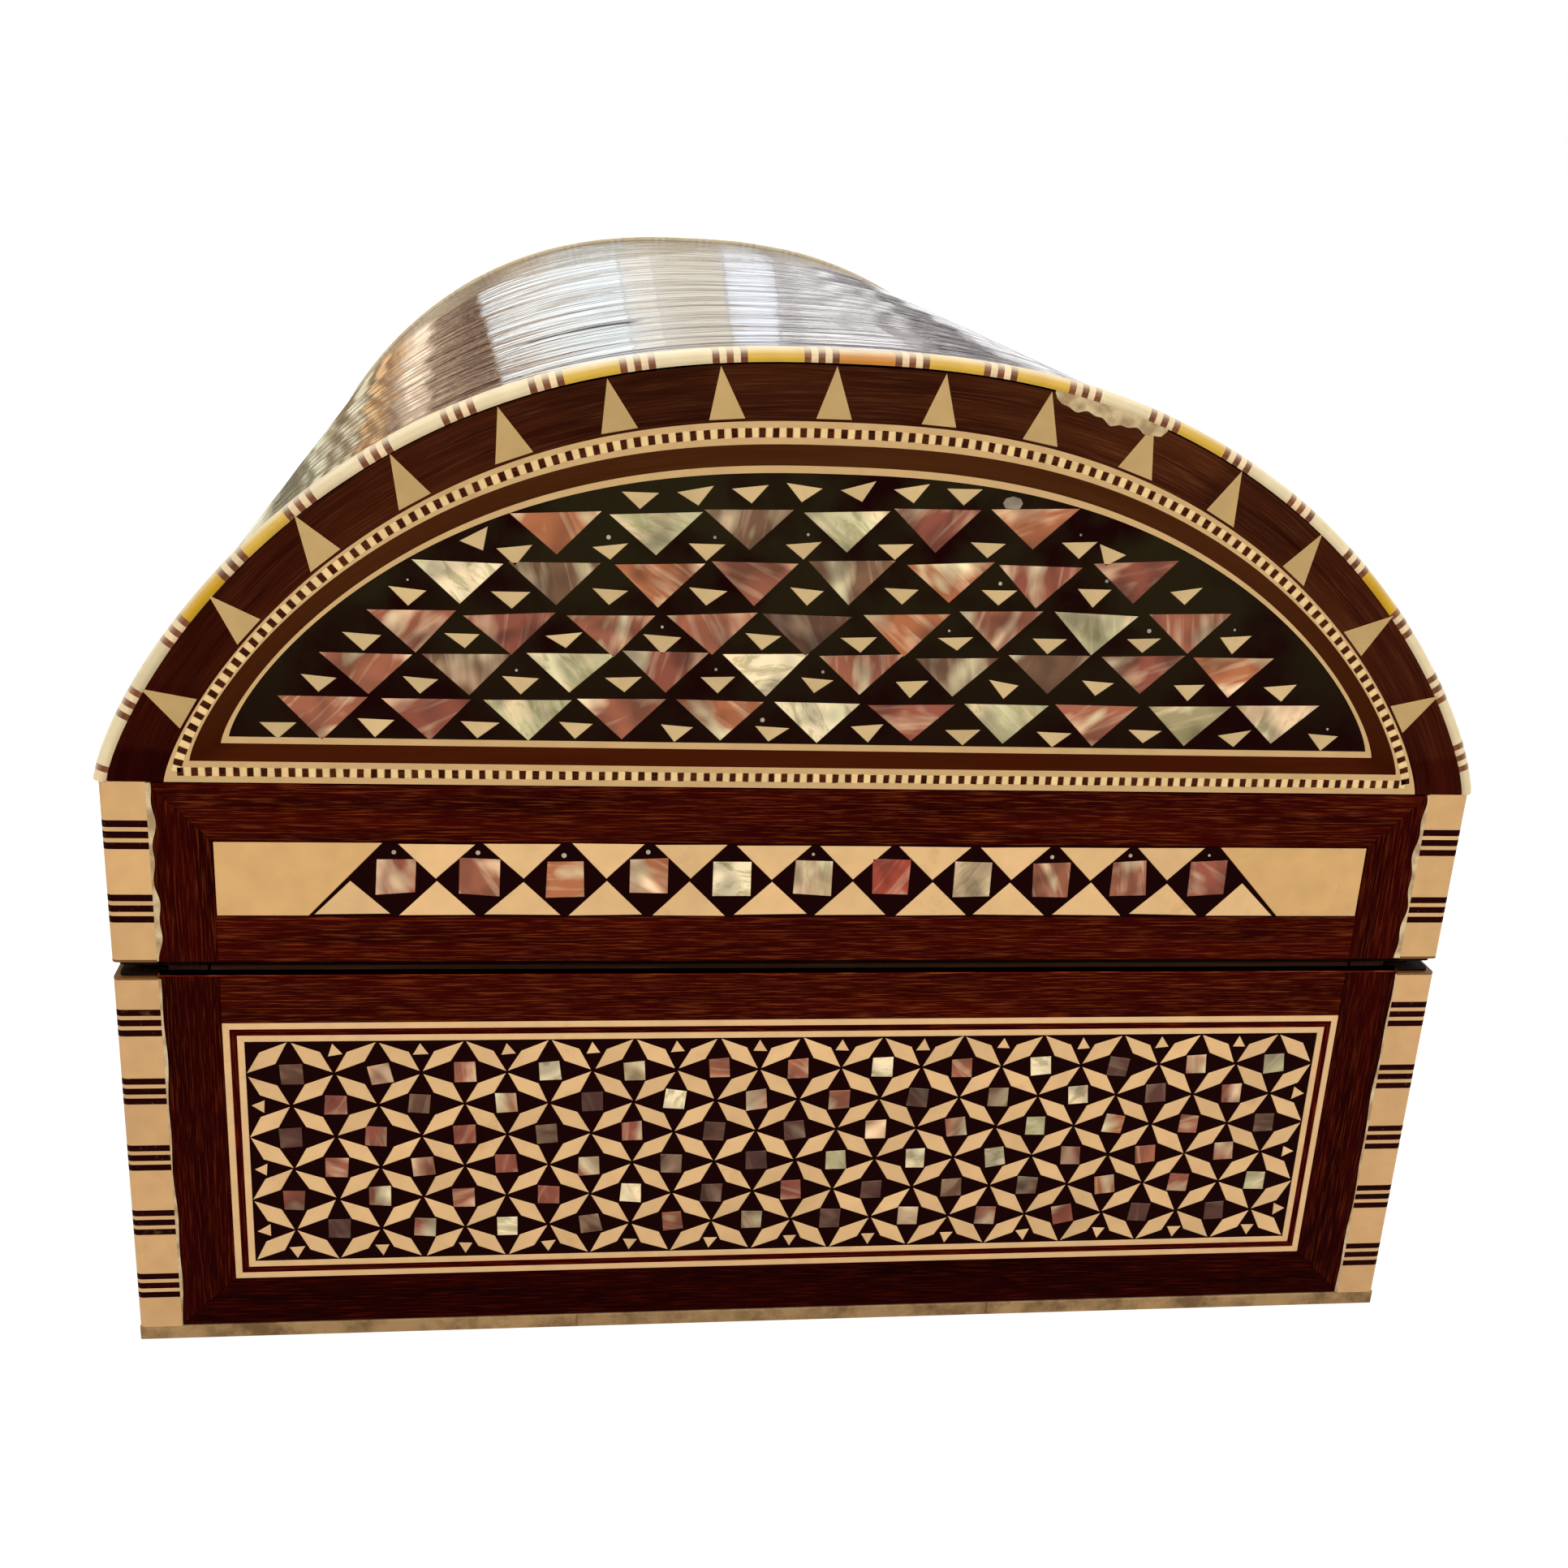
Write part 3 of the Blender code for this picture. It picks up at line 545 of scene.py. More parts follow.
def rail(low_u, high_u, low_v, high_v, pocket=None):
    """A butted rail as rectangles. At each hinge a pocket height cuts the rail to leave room for the
    knuckles."""
    if pocket is None:
        return [rectangle(low_u, high_u, low_v, high_v)]
    cuts = [low_u, *(middle + side * POCKET_HALF for middle in HINGE_MIDDLES for side in (-1, 1)), high_u]
    pieces = []
    for index, (start, end) in enumerate(zip(cuts, cuts[1:])):
        low, high = low_v, high_v
        if index % 2:
            low, high = (pocket, high_v) if pocket > JOINT else (low_v, pocket)
        pieces.append(rectangle(start, end, low, high))
    return pieces


def frame_parts(half, low, high, rails, mitre_foot, shade, pocket=None):
    """Stiles and rails of one frame: the mitred rail is a trapezoid, the butted one lies between the
    stiles. Shade is the brightness of the stiles, of the mitred rail and of the butted one; darker
    strips are redder."""
    window = half + SEAT * 2 - STILE
    outer, inner_low, inner_high = half + SEAT, low + rails[0], high - rails[1]
    ends = (low, inner_low) if mitre_foot else (high, inner_high)
    stiles = []
    for side in (-1, 1):
        near, far = side * window, side * outer
        if mitre_foot:
            stiles.append([(far, low), (near, inner_low), (near, high), (far, high)])
        else:
            stiles.append([(far, low), (near, low), (near, inner_high), (far, high)])
    mitred = [(-outer, ends[0]), (outer, ends[0]), (window, ends[1]), (-window, ends[1])]
    butted = (inner_high, high) if mitre_foot else (low, inner_low)
    seat = dice.uniform(0, FAR, 2)
    tints = np.repeat(shade, (2, 1, 1))[:, None] ** (1, 1.8, 1.8) * varied("#FFFFFF", 4, 0.06)
    return [tiles(stiles, tints[:2], grain=np.pi / 2), tiles([mitred], tints[2]),
            tiles(rail(-window, window, *butted, pocket), tints[3], seat=seat)]


END_HALF, SIDE_HALF = HALF_WIDTH - STRIP - 2 * SEAT, HALF_LENGTH - STRIP - 2 * SEAT
HALVES = {"right": END_HALF, "left": END_HALF, "front": SIDE_HALF, "back": SIDE_HALF}
WINDOW = {face: half + 2 * SEAT - STILE for face, half in HALVES.items()}
BASE_FIELD = (FOOT + BASE_RAIL[0], BASE_TOP - BASE_RAIL[1])
LID_FIELD = (LID_FOOT + LID_RAIL[0], SPRING - LID_RAIL[1])
print("windows:", WINDOW, "base", BASE_FIELD, "lid", LID_FIELD)

# %% [markdown]
# ## Stringing
# A line of bone, a line of dark wood and a line of bone, each about 0.65 mm wide and mitred at the
# corners, run round the base's field. They are long thin tiles, and the three lines come from one
# function by stepping in.

# %% Stringing lines
LINE = 0.65


def ring_of_lines(half, low, high, inset, width):
    """Four mitred lines between the rectangle moved in by inset and the one moved in by inset + width."""
    outer = rectangle(-half + inset, half - inset, low + inset, high - inset)
    step = inset + width
    inner = rectangle(-half + step, half - step, low + step, high - step)
    return [[outer[i], outer[(i + 1) % 4], inner[(i + 1) % 4], inner[i]] for i in range(4)]


QUARTERS = np.array([0, np.pi / 2, 0, np.pi / 2])
print("stringing takes", 3 * LINE, "mm on each side of the field")

# %% [markdown]
# ## The star lattice
# The base's field is covered with bone lozenges that meet tip to tip, six rows of black four-pointed
# stars with a square of shell in each, and small bone triangles along the border. The knots where tips
# meet stand on two staggered rows, so the whole lattice follows from the number of columns. Every corner
# gets a few hundredths of a millimetre of chance, as sawn and filed pieces have.

# %% Lattice of lozenges and squares
ROWS = 6
LOZENGE_GAP, LOZENGE_HALF, LOZENGE_SKEW = 0.16, 0.96, 0.26
SQUARE = 2.1
DART = ((-0.72, -0.58), (0.72, -0.58), (0, 0.68))      # triangle along the border
DART_IN = 0.95                    # distance of its middle from the border


def shaken(corners, amount):
    """Outlines whose corners are each moved by a normal chance of the given size."""
    corners = np.asarray(corners, float)
    return corners + dice.normal(0, amount, corners.shape)


def turned(shape, centres, angles):
    """Copies of one outline turned by their angles and moved to their centres."""
    cos, sin = np.cos(angles)[:, None], np.sin(angles)[:, None]
    shape = np.asarray(shape, float)
    return np.stack([shape[:, 0] * cos - shape[:, 1] * sin, shape[:, 0] * sin + shape[:, 1] * cos],
                    -1) + np.asarray(centres)[:, None]


def lattice(half, low, high, columns):
    """Lozenges, squares and border triangles of one field. Knots of even rows stand over the columns,
    those of odd rows half a pitch aside; a lozenge joins each knot over a column to both neighbours a
    row away. Its upper corner lies a little towards its lower tip, so that the longer sides are the
    flatter ones."""
    pitch, drop = 2 * half / columns, (high - low) / (ROWS + 1)
    over = (np.arange(columns) - (columns - 1) / 2) * pitch
    between = (np.arange(columns - 1) - (columns - 2) / 2) * pitch
    first = np.arange(ROWS + 1)
    level = high - np.arange(ROWS + 2) * drop
    even = np.where(first % 2 == 0, first, first + 1)
    odd = np.where(first % 2 == 0, first + 1, first)
    u, k, side = [grid.ravel() for grid in np.meshgrid(over, first, (-0.5, 0.5), indexing="ij")]
    start = np.stack([u, level[even[k]]], -1)
    way = np.stack([u + side * pitch, level[odd[k]]], -1) - start
    length = np.linalg.norm(way, axis=1, keepdims=True)
    way /= length
    across = left_of(way)
    centre = start + way * length / 2
    reach = length / 2 - LOZENGE_GAP
    skew = LOZENGE_SKEW + dice.normal(0, 0.08, (len(way), 1))
    aside = across * LOZENGE_HALF - way * skew * np.sign(way[:, :1] * way[:, 1:])
    lozenges = np.stack([centre - way * reach, centre - aside, centre + way * reach, centre + aside], 1)
    seats = [(u, level[row]) for row in range(1, ROWS + 1) for u in (over if row % 2 else between)]
    half_square = np.array(rectangle(-1, 1, -1, 1)) * SQUARE / 2
    moved = seats + dice.normal(0, 0.1, (len(seats), 2))
    squares = turned(half_square, moved, dice.normal(0, 0.07, len(seats)))
    edge = [(u, high - DART_IN) for u in between] + [(u, low + DART_IN) for u in over]
    angles = [0.0] * len(between) + [np.pi] * len(over)
    for row in range(2, ROWS + 1, 2):
        edge += [(-half + 1.0, level[row]), (half - 1.0, level[row])]
        angles += [np.pi / 2, -np.pi / 2]
    darts = turned(DART, edge, np.array(angles) + dice.normal(0, 0.08, len(angles)))
    return shaken(lozenges, 0.045), shaken(squares, 0.05), shaken(darts, 0.05)


SHELL_COLOURS = ("#90563F", "#864938", "#4C2D24", "#5A3C2C", "#A2623F", "#B39A7C", "#6C4E38", "#B2AC86",
                 "#8F8460", "#E0D1AE", "#983F2E", "#A39C7A")
BASE_CHANCE = (0.2, 0.26, 0.14, 0.1, 0.05, 0.05, 0.04, 0.05, 0.0, 0.17, 0.0, 0.01)


def shell_tiles(outlines, chance):
    """Tiles of shell: ground colours drawn by weighted chance from the colours that such shell shows,
    and a pattern that is turned at random."""
    count = len(outlines)
    palette = np.array([linear(code) for code in SHELL_COLOURS])
    picked = palette[dice.choice(len(palette), count, p=np.array(chance) / sum(chance))]
    tints = picked * dice.uniform(0.85, 1.12, (count, 1))
    return tiles(outlines, tints, grain=dice.uniform(0, np.pi, count))


print("shell colours:", len(SHELL_COLOURS))

# %% [markdown]
# ## Dressing the base's four faces
# The same frame, stringing and lattice go on the ends and, with more columns, on the long sides. A slab
# of mastic lies under the inlay, a little below the surface of the pieces. A thin lighter line along the top
# edge of the frame is a painted highlight, where light catches that edge, and the frame's lower rail is
# painted much darker than its top rail, as painted shade towards the foot.

# %% Base faces
COLUMNS = {"right": 13, "left": 13, "front": 20, "back": 20}
EDGE_HIGHLIGHT = 0.13                     # height of the painted highlight along the top edge
SLAB = {"top": -0.05, "bottom": -1.8}
# The base frame's lower rail, the mitred one, is darkest: painted shade, as the light falls off towards the
# foot.
BASE_BONE, BASE_SHADE = "#D7B282", (0.6, 0.32, 0.95)


def dress(body, face, field, veneers, bones, shells):
    """Lays the pieces of one face over a slab of mastic that fills the field. On an end they stand for
    the CAD's frame, inlay and lattice, on a long side for its panel."""
    half, at_end = WINDOW[face], face in ENDS
    slab = tiles([rectangle(-half, half, *field)], (1, 1, 1), **SLAB)
    frames = [f"{body}_frame_{face}" if at_end else f"{body}_panel_{face}"]
    inlays = [f"{body}_inlay_{face}"] if at_end else []
    lattices = [f"base_lattice_{face}"] if at_end and body == "base" else []
    lay(f"{body}_veneer_{face}", veneers, veneer, body, face, frames)
    lay(f"{body}_mastic_{face}", [slab], mastic, body, face, inlays)
    lay(f"{body}_bone_inlay_{face}", bones, bone, body, face, lattices)
    lay(f"{body}_shell_squares_{face}", [shells], shell, body, face)


for face, columns in COLUMNS.items():
    half, (low, high) = WINDOW[face], BASE_FIELD
    pocket = POCKETS["base"] if face == "back" else None
    rails = BASE_RAIL[0] - SEAT, BASE_RAIL[1]
    veneers = frame_parts(HALVES[face], FOOT + SEAT, BASE_TOP, rails, True, BASE_SHADE, pocket)
    veneers.append(tiles(ring_of_lines(half, low, high, LINE, LINE), linear("#E8A090"), bevel=0.04,
                         grain=QUARTERS))
    # A thin strip of veneer tinted lighter along the top edge: a painted highlight.
    edge = rail(-half - STILE, half + STILE, BASE_TOP - EDGE_HIGHLIGHT, BASE_TOP, pocket)
    veneers.append(tiles(edge[::2], (2.6, 2.4, 2.4), top=0.012, bevel=0.03))
    bones = [tiles(ring_of_lines(half, low, high, inset, LINE), varied(BASE_BONE, 4, 0.03), bevel=0.04)
             for inset in (0.0, 2 * LINE)]
    field = 3 * LINE
    lozenges, squares, darts = lattice(half - field, low + field, high - field, columns)
    bones += [tiles(lozenges, varied(BASE_BONE, len(lozenges)), top=dice.normal(0, 0.01, len(lozenges))),
              tiles(darts, varied(BASE_BONE, len(darts)))]
    dress("base", face, BASE_FIELD, veneers, bones, shell_tiles(squares, BASE_CHANCE))
    print(face, len(lozenges), "lozenges,", len(squares), "squares,", len(darts), "triangles")

# %% [markdown]
# ## The band on the lid's wall
# A narrow window on each face of the lid holds a row of black diamonds with a square of shell in each.
# Bone triangles fill in from above and below, and a long bone block with a slanted inner edge closes each
# end. Here and there a pale pit shows at the top of a diamond, where the paste has shrunk. The lower edge
# of the lid is cut back, and a near-black strip set back there is painted shadow, so the joint with the
# base shows as a black line.

# %% Lid band
DIAMOND, LID_SQUARE = 7.78, 3.6
LID_BONE, BLOCK_BONE, LID_SHADE = "#D8B381", "#CEA66F", (0.66, 0.92, 0.9)


def lid_band(half, low, high, diamonds):
    """Blocks, triangles and squares of one band. Diamonds stand at whole pitches from the middle;
    triangles at half pitches point down from the top and up from the bottom, and the last lower ones
    lie by the blocks."""
    middle, line = (low + high) / 2, 0.12
    seats = (np.arange(diamonds) - (diamonds - 1) / 2) * DIAMOND
    upper = (np.arange(diamonds - 1) - (diamonds - 2) / 2) * DIAMOND
    lower = (np.arange(diamonds + 1) - diamonds / 2) * DIAMOND
    wide, tall = DIAMOND / 2 - 0.42, (high - low) / 2 - 0.2
    down = np.array([(-wide, tall), (0, 0.1), (wide, tall)])
    upright = np.array([(-wide, -tall), (wide, -tall), (0, -0.1)])
    triangles = [turned(down, [(u, middle) for u in upper], np.zeros(len(upper))),
                 turned(upright, [(u, middle) for u in lower], np.zeros(len(lower)))]
    foot, head = lower[-1] + 3.9, seats[-1] + 1.0
    block = [(foot, low + line), (half - line, low + line), (half - line, high - line), (head, high - line)]
    blocks = [block, [(-u, v) for u, v in block]]
    square = np.array(rectangle(-1, 1, -1, 1)) * LID_SQUARE / 2
    centres = np.stack([seats, np.full(diamonds, middle + 0.3)], -1) + dice.normal(0, 0.1, (diamonds, 2))
    squares = turned(square, centres, dice.normal(0, 0.03, diamonds))
    return blocks, shaken(np.concatenate(triangles), 0.06), shaken(squares, 0.08)


def pits(centres, size):
    """Small eight-sided dots, each with its own radius."""
    turn = np.arange(8) * np.pi / 4
    ring = np.stack([np.cos(turn), np.sin(turn)], -1)
    radius = size * dice.uniform(0.6, 1.3, (len(centres), 1, 1))
    return np.asarray(centres)[:, None] + ring * radius


DIAMONDS = {"right": 11, "left": 11, "front": 17, "back": 17}
WORN = 0.45                       # height by which the lid's lower edge is cut back; a painted shadow strip fills it
LID_CHANCE = (0.22, 0.06, 0.0, 0.05, 0.3, 0.12, 0.03, 0.03, 0.0, 0.2, 0.03, 0.0)
for face, diamonds in DIAMONDS.items():
    half, (low, high) = WINDOW[face], LID_FIELD
    pocket = POCKETS["lid"] if face == "back" else None
    rails = LID_RAIL[0] - WORN, LID_RAIL[1] - SEAT
    veneers = frame_parts(HALVES[face], LID_FOOT + WORN, SPRING - SEAT, rails, False, LID_SHADE, pocket)
    # A near-black strip set back under the lid's lower edge: painted shadow in the joint.
    joint_shadow = rail(-half - STILE, half + STILE, LID_FOOT, LID_FOOT + WORN, pocket)
    veneers.append(tiles(joint_shadow[::2], (0.1, 0.1, 0.1), top=-0.5, bevel=0.03))
    blocks, triangles, squares = lid_band(half, low, high, diamonds)
    bones = [tiles(blocks, varied(BLOCK_BONE, 2, 0.02)), tiles(triangles, varied(LID_BONE, len(triangles)))]
    marked = squares.mean(1)[dice.random(diamonds) < 0.6] + dice.normal((0.1, 2.45), (0.5, 0.1))
    bones.append(tiles(pits(marked, 0.22), varied("#A89C8A", len(marked), 0.15), top=0.02, bevel=0.02))
    dress("lid", face, LID_FIELD, veneers, bones, shell_tiles(squares, LID_CHANCE))
    print(face, len(triangles), "triangles,", diamonds, "squares")

# %% [markdown]
# ## Arches on the ends
# Above the lid's wall each end rises in an arch that is flatter than a half circle at the crown and
# fuller at the shoulders. A superellipse fits it with two exponents, and every line of the tympanum is
# the same curve at another size. A closed D, an arch with its base line, carries the chequered stringing,
# the plain band and the bone line all the way round.

# %% The arch and its D-shaped loops
ACROSS, UP = 2.44, 1.32
TURN = np.linspace(0, np.pi, 121)
FOOT_STEPS = 40                   # points along the base line of a D
NEARBY = 0.05                     # step over which a direction is measured
CLEAR = 0.06                      # distance from the ends of an arch at which its direction is still good


def arch(half, foot, crown, turn=TURN):
    """Superellipse |x / half|^2.44 + |(z - foot) / (crown - foot)|^1.32 = 1, walked from right to
    left."""
    cos, sin = np.cos(turn), np.abs(np.sin(turn))
    return np.stack([half * np.sign(cos) * np.abs(cos) ** (2 / ACROSS),
                     foot + (crown - foot) * sin ** (2 / UP)], -1)


def arch_loop(half, foot, crown):
    """A closed D: the arch, then its base line back from left to right."""
    base = np.stack([np.linspace(-half, half, FOOT_STEPS + 2)[1:-1], np.full(FOOT_STEPS, foot)], -1)
    return np.vstack([arch(half, foot, crown), base])


def walk(path, distance, closed=False):
    """Points and unit tangents at the given distances along a path, by linear interpolation of its
    length."""
    ends, walked = measured(path, closed)
    place, ahead, behind = [
        np.stack([np.interp(np.asarray(distance) + step, walked, ends[:, axis]) for axis in (0, 1)], -1)
        for step in (0, NEARBY, -NEARBY)]
    tangent = ahead - behind
    return place, tangent / np.linalg.norm(tangent, axis=-1, keepdims=True)


def path_length(path, closed=False):
    """Total length of a path."""
    return measured(path, closed)[1][-1]


RIM_OUT = (HALF_WIDTH + 0.5, SPRING, CROWN)
RIM_IN = (63.6, SPRING, 97.8)
CHECK_OUT, CHECK_IN = (58.8, SPRING, 92.8), (56.5, 61.0, 90.8)
LINE_OUT, LINE_IN = (53.7, 62.7, 88.95), (53.0, 63.3, 88.3)
print(f"rim {path_length(arch(*RIM_OUT)):.0f} mm long,",
      f"checks {path_length(arch_loop(*CHECK_OUT), True):.0f} mm long")

# %% [markdown]
# ## Spiked arch band and chequered stringing
# Fifteen bone spikes stand on the chequered stringing, evenly spaced but all set a little to the left,
# and point outwards across a band of veneer whose grain follows the arch. The stringing is two bone lines
# with a row of dark and pale checks between, which a maker saws from a glued block. The veneer between
# two spikes is a piece of its own, so its brown changes from spike to spike; it is also made darker and
# redder towards the left and towards the feet of the arch, and on the photographed end a mark of dried
# glue lies over it under the rim. The plain band inside the stringing is made darker towards the feet too,
# and along its base line it is painted darker and redder still: painted shade at the foot of the arch.
# The bone lines of the arch and the spikes are painted darker than the bone below: painted shade, as
# less light falls there.

# %% Bands, spikes and checks
SPIKES, SPIKE_HALF, SPIKE_TALL = 15, 1.62, 4.7
SPIKE_SPAN = (0.057, 0.953)       # shares of the arch at the first and the last spike
CHECK = 0.6
MARK_START, MARK_LONG = 0.313, 0.069     # shares of the rim's length
# Bone on the arch is painted darker than on the walls: painted shade, as less light falls there.
SHADED_ARCH_BONE, SHADED_SPIKE_BONE = "#C0A070", "#B59866"


def spikes():
    """Triangles on the stringing's outer edge, evenly spaced from 5.7 to 95.3 hundredths of its
    length: the base lies along the tangent, and the point reaches the rim along the normal with a
    small lean."""
    path = arch(*CHECK_OUT)
    place, tangent = walk(path, np.linspace(*SPIKE_SPAN, SPIKES) * path_length(path))
    normal = -left_of(tangent)
    lean = dice.normal(0, 0.5, (SPIKES, 1))
    width = SPIKE_HALF * (1 + dice.normal(0, 0.05, (SPIKES, 1)))
    foot = place + normal * 0.2
    point = foot + normal * SPIKE_TALL + tangent * lean
    return np.stack([foot - tangent * width, point, foot + tangent * width], 1)


def checks():
    """Small quadrilaterals along the middle of the stringing, alternately dark and pale."""
    middle = (arch_loop(*CHECK_OUT) + arch_loop(*CHECK_IN)) / 2
    length = path_length(middle, True)
    count = 2 * int(length / (2 * CHECK))
    place, tangent = walk(middle, (np.arange(count) + 0.5) * length / count, True)
    normal = -left_of(tangent)
    along, out = tangent * CHECK * 0.48, normal * 0.42
    corners = place - along - out, place + along - out, place + along + out, place - along + out
    return shaken(np.stack(corners, 1), 0.02)


def glue_mark():
    """A patch from the rim inwards between the fifth and the sixth spike: its depth is 0.2 mm and about
    1.1 mm more times a round-ended profile, with two slow waves in its edge."""
    path = arch(*RIM_IN)
    share = np.linspace(0, 1, 40)
    outer, tangent = walk(path, (MARK_START + MARK_LONG * share) * path_length(path))
    uneven = 1.1 + 0.2 * np.sin(17 * share) + 0.12 * np.sin(41 * share + 1)
    depth = 0.2 + uneven * np.sin(np.pi * share) ** 0.3
    inner = outer + left_of(tangent) * depth[:, None]
    return band(outer, inner, np.ones(3), top=0.03, bottom=-0.3, closed=False)


glue = blank("dried hide glue")
lumps = noise(glue, on_box(glue), 3.0, 1.3)
amber = mix(glue, ramp(glue, lumps, 0.35, 0.65), "#957A52", "#C6B388")
surfaced(glue, {"Base Color": amber, "Roughness": 0.2, "IOR": 1.5, "Specular IOR Level": 0.5,
                "Normal": relief(glue, lumps, 0.8, 0.15)})
lay("glue_mark_right", [glue_mark()], glue, "lid", "right")

for face in ENDS:
    # The veneer pieces are made darker and redder towards the left and towards the feet of the arch.
    fade = np.linspace(0, 1, SPIKES)[:, None] ** 2 * (0.42, 0.68, 0.72)
    feet = np.abs(np.linspace(-1, 1, SPIKES))[:, None] ** 2 * (0.35, 0.75, 0.7)
    between = np.arange(len(TURN)) * SPIKES // len(TURN)
    wood_tints = ((1.0, 1.08, 1.08) * (1 - fade) * (1 - feet) * varied("#FFFFFF", SPIKES, 0.1))[between]
    low = np.abs(np.linspace(-1, 1, len(TURN)))[:, None] ** 2 * (0.4, 0.7, 0.85)
    # The plain band's base line is painted darker and redder: painted shade at the foot of the arch.
    shaded_foot_tints = np.tile((0.72, 0.42, 0.28), (FOOT_STEPS, 1))
    plain_tints = np.concatenate([(1 - low) * (0.82, 0.88, 0.82), shaded_foot_tints])
    spiked = band(arch(*RIM_IN), arch(*CHECK_OUT), wood_tints, closed=False)
    plain = band(arch_loop(*CHECK_IN), arch_loop(*LINE_OUT), plain_tints)
    squares = checks()
    bones = [band(arch_loop(*CHECK_OUT), arch_loop(*CHECK_IN), linear(SHADED_ARCH_BONE)),
             band(arch_loop(*LINE_OUT), arch_loop(*LINE_IN), linear(SHADED_ARCH_BONE)),
             tiles(spikes(), varied(SHADED_SPIKE_BONE, SPIKES, 0.04), top=0.02),
             tiles(squares[1::2], varied("#DDC08C", len(squares) // 2), top=0.02, bevel=0.03)]
    lay(f"arch_veneer_{face}", [spiked], walnut, "lid", face, [f"arch_band_{face}"])
    lay(f"plain_band_{face}", [plain], plain_walnut, "lid", face)
    lay(f"arch_bone_{face}", bones, bone, "lid", face, [f"spiked_stringing_{face}"])
    dark = tiles(squares[::2], varied("#FFFFFF", len(squares) // 2, 0.15), top=0.02, bevel=0.03)
    lay(f"arch_checks_{face}", [dark], walnut, "lid", face)
    print(face, SPIKES, "spikes,", len(squares), "checks")

# %% [markdown]
# ## The tympanum
# Inside the bone line lies a black field with five rows of shell triangles, all pointing down, each row
# shorter than the row below. Small bone triangles hang between them at the lower edge of every row, and
# seven more follow the crown. The maker worked by eye: the rows step a little to the left and tip a
# little as they rise. A few pale pits show in the paste here too, and on the photographed end a round
# scrap of shell fills a gap.

# %% Tympanum
SHELL_ROWS = ((11, 67.35, 8.85), (10, 71.8, 8.85), (9, 75.7, 8.85), (8, 80.2, 8.7), (6, 84.9, 8.5))
BONE_ROWS = ((12, 65.0, 8.85), (11, 69.4, 8.85), (10, 73.6, 8.85), (9, 77.8, 8.8), (7, 82.0, 8.4))
TYMPANUM_CHANCE = (0.28, 0.12, 0.0, 0.01, 0.27, 0.06, 0.05, 0.08, 0.02, 0.07, 0.02, 0.02)
TYMPANUM_BONE = "#C3AA7D"
TYMPANUM_FOOT = 64
SHELL_SIZE, BONE_SIZE = (3.98, 3.85), (1.62, 1.5)      # half width and height of a triangle
CROWN_ROW = (-17.3, 11.4, 7)      # first and last place across, and number of triangles under the crown
PITS = 16


def step_left(height):
    """How far the middle of a row lies from the middle of the end: 0.16 mm to the left for each mm of
    height."""
    return -0.16 * (height - TYMPANUM_FOOT)


def hanging(rows, half, tall, jitter):
    """Triangles that point down: rows of (count, top height, pitch), spaced about the middle of each
    row. A row is tipped by 0.1 degrees for each mm of its height above the field's foot."""
    seats, tips = [], []
    for count, top, pitch in rows:
        along = (np.arange(count) - (count - 1) / 2) * pitch
        tip = np.radians(0.1) * (top - TYMPANUM_FOOT)
        seats.append(np.stack([along + step_left(top), top + along * tip], -1))
        tips.append(np.full(count, tip))
    seats, tips = np.concatenate(seats), np.concatenate(tips)
    shape = np.array([(-half, 0), (0, -tall), (half, 0)])
    moved = seats + dice.normal(0, 0.12, seats.shape)
    return shaken(turned(shape, moved, tips + dice.normal(0, jitter, len(seats))), 0.1)


for face in ENDS:
    shells = hanging(SHELL_ROWS, *SHELL_SIZE, 0.012)
    small = hanging(BONE_ROWS, *BONE_SIZE, 0.05)
    across = np.linspace(*CROWN_ROW)
    crown = np.stack([across, 87.2 + (0.03 * (across + 3) - (across / 22) ** 2)], -1)
    top = turned([(-1.65, 0), (0, -1.5), (1.65, 0)], crown, dice.normal(0, 0.12, len(crown)))
    ends = turned([(-1.4, 0), (0, -1.7), (1.4, 0)], [(-31.6, 82.1), (25.6, 82.3)], np.array((0.5, -0.35)))
    above = dice.permutation(small[:, ::2].mean(1))[:PITS]
    dots = pits(above + dice.normal((0, 0.75), (0.5, 0.1), (PITS, 2)), 0.17)
    bones = [tiles(small, varied(TYMPANUM_BONE, len(small))), tiles(top, varied(TYMPANUM_BONE, len(top))),
             tiles(ends, varied(TYMPANUM_BONE, len(ends))),
             tiles(dots, varied("#9C9488", len(dots), 0.2), top=0.02, bevel=0.02)]
    pearls = [shell_tiles(shells, TYMPANUM_CHANCE)]
    if face == "right":
        scrap = pits([(0, 0)], 1.0)
        scrap *= np.array((1.15, 0.85)) / np.abs(scrap).max()
        pearls.append(tiles(scrap + (15.9, 86.2), linear("#8E8272"), bevel=0.25))
    slab = tiles([arch_loop(*LINE_IN)], (1, 1, 1), **SLAB)
    lay(f"tympanum_mastic_{face}", [slab], mastic, "lid", face, [f"tympanum_{face}"])
    lay(f"tympanum_bone_{face}", bones, bone, "lid", face)
    lay(f"tympanum_shell_{face}", pearls, shell, "lid", face)
    print(face, len(shells), "shell triangles,", len(small) + len(top) + len(ends), "bone triangles")

# %% [markdown]
# ## Striped corner strips and rim
# The corners are covered by angles of bone, and the ends of the dome by a bone rim. Both are sawn from a
# rod glued up of bone blocks and thin dark slices, three slices between every two blocks. A corner is a
# bent outline stacked up in short blocks, chipped back where base and lid meet; the thin block beside that
# joint is brown, and a near-black block set back in the gap is painted shadow. The rim is a rounded
# section carried along the arch, block by block. Many of its blocks have turned amber. Its outer edge is
# mixed with pale cream, a painted highlight on an edge that is also rubbed, on the left end so much that
# the slices hardly show from above; its inner edge is mixed with brown.

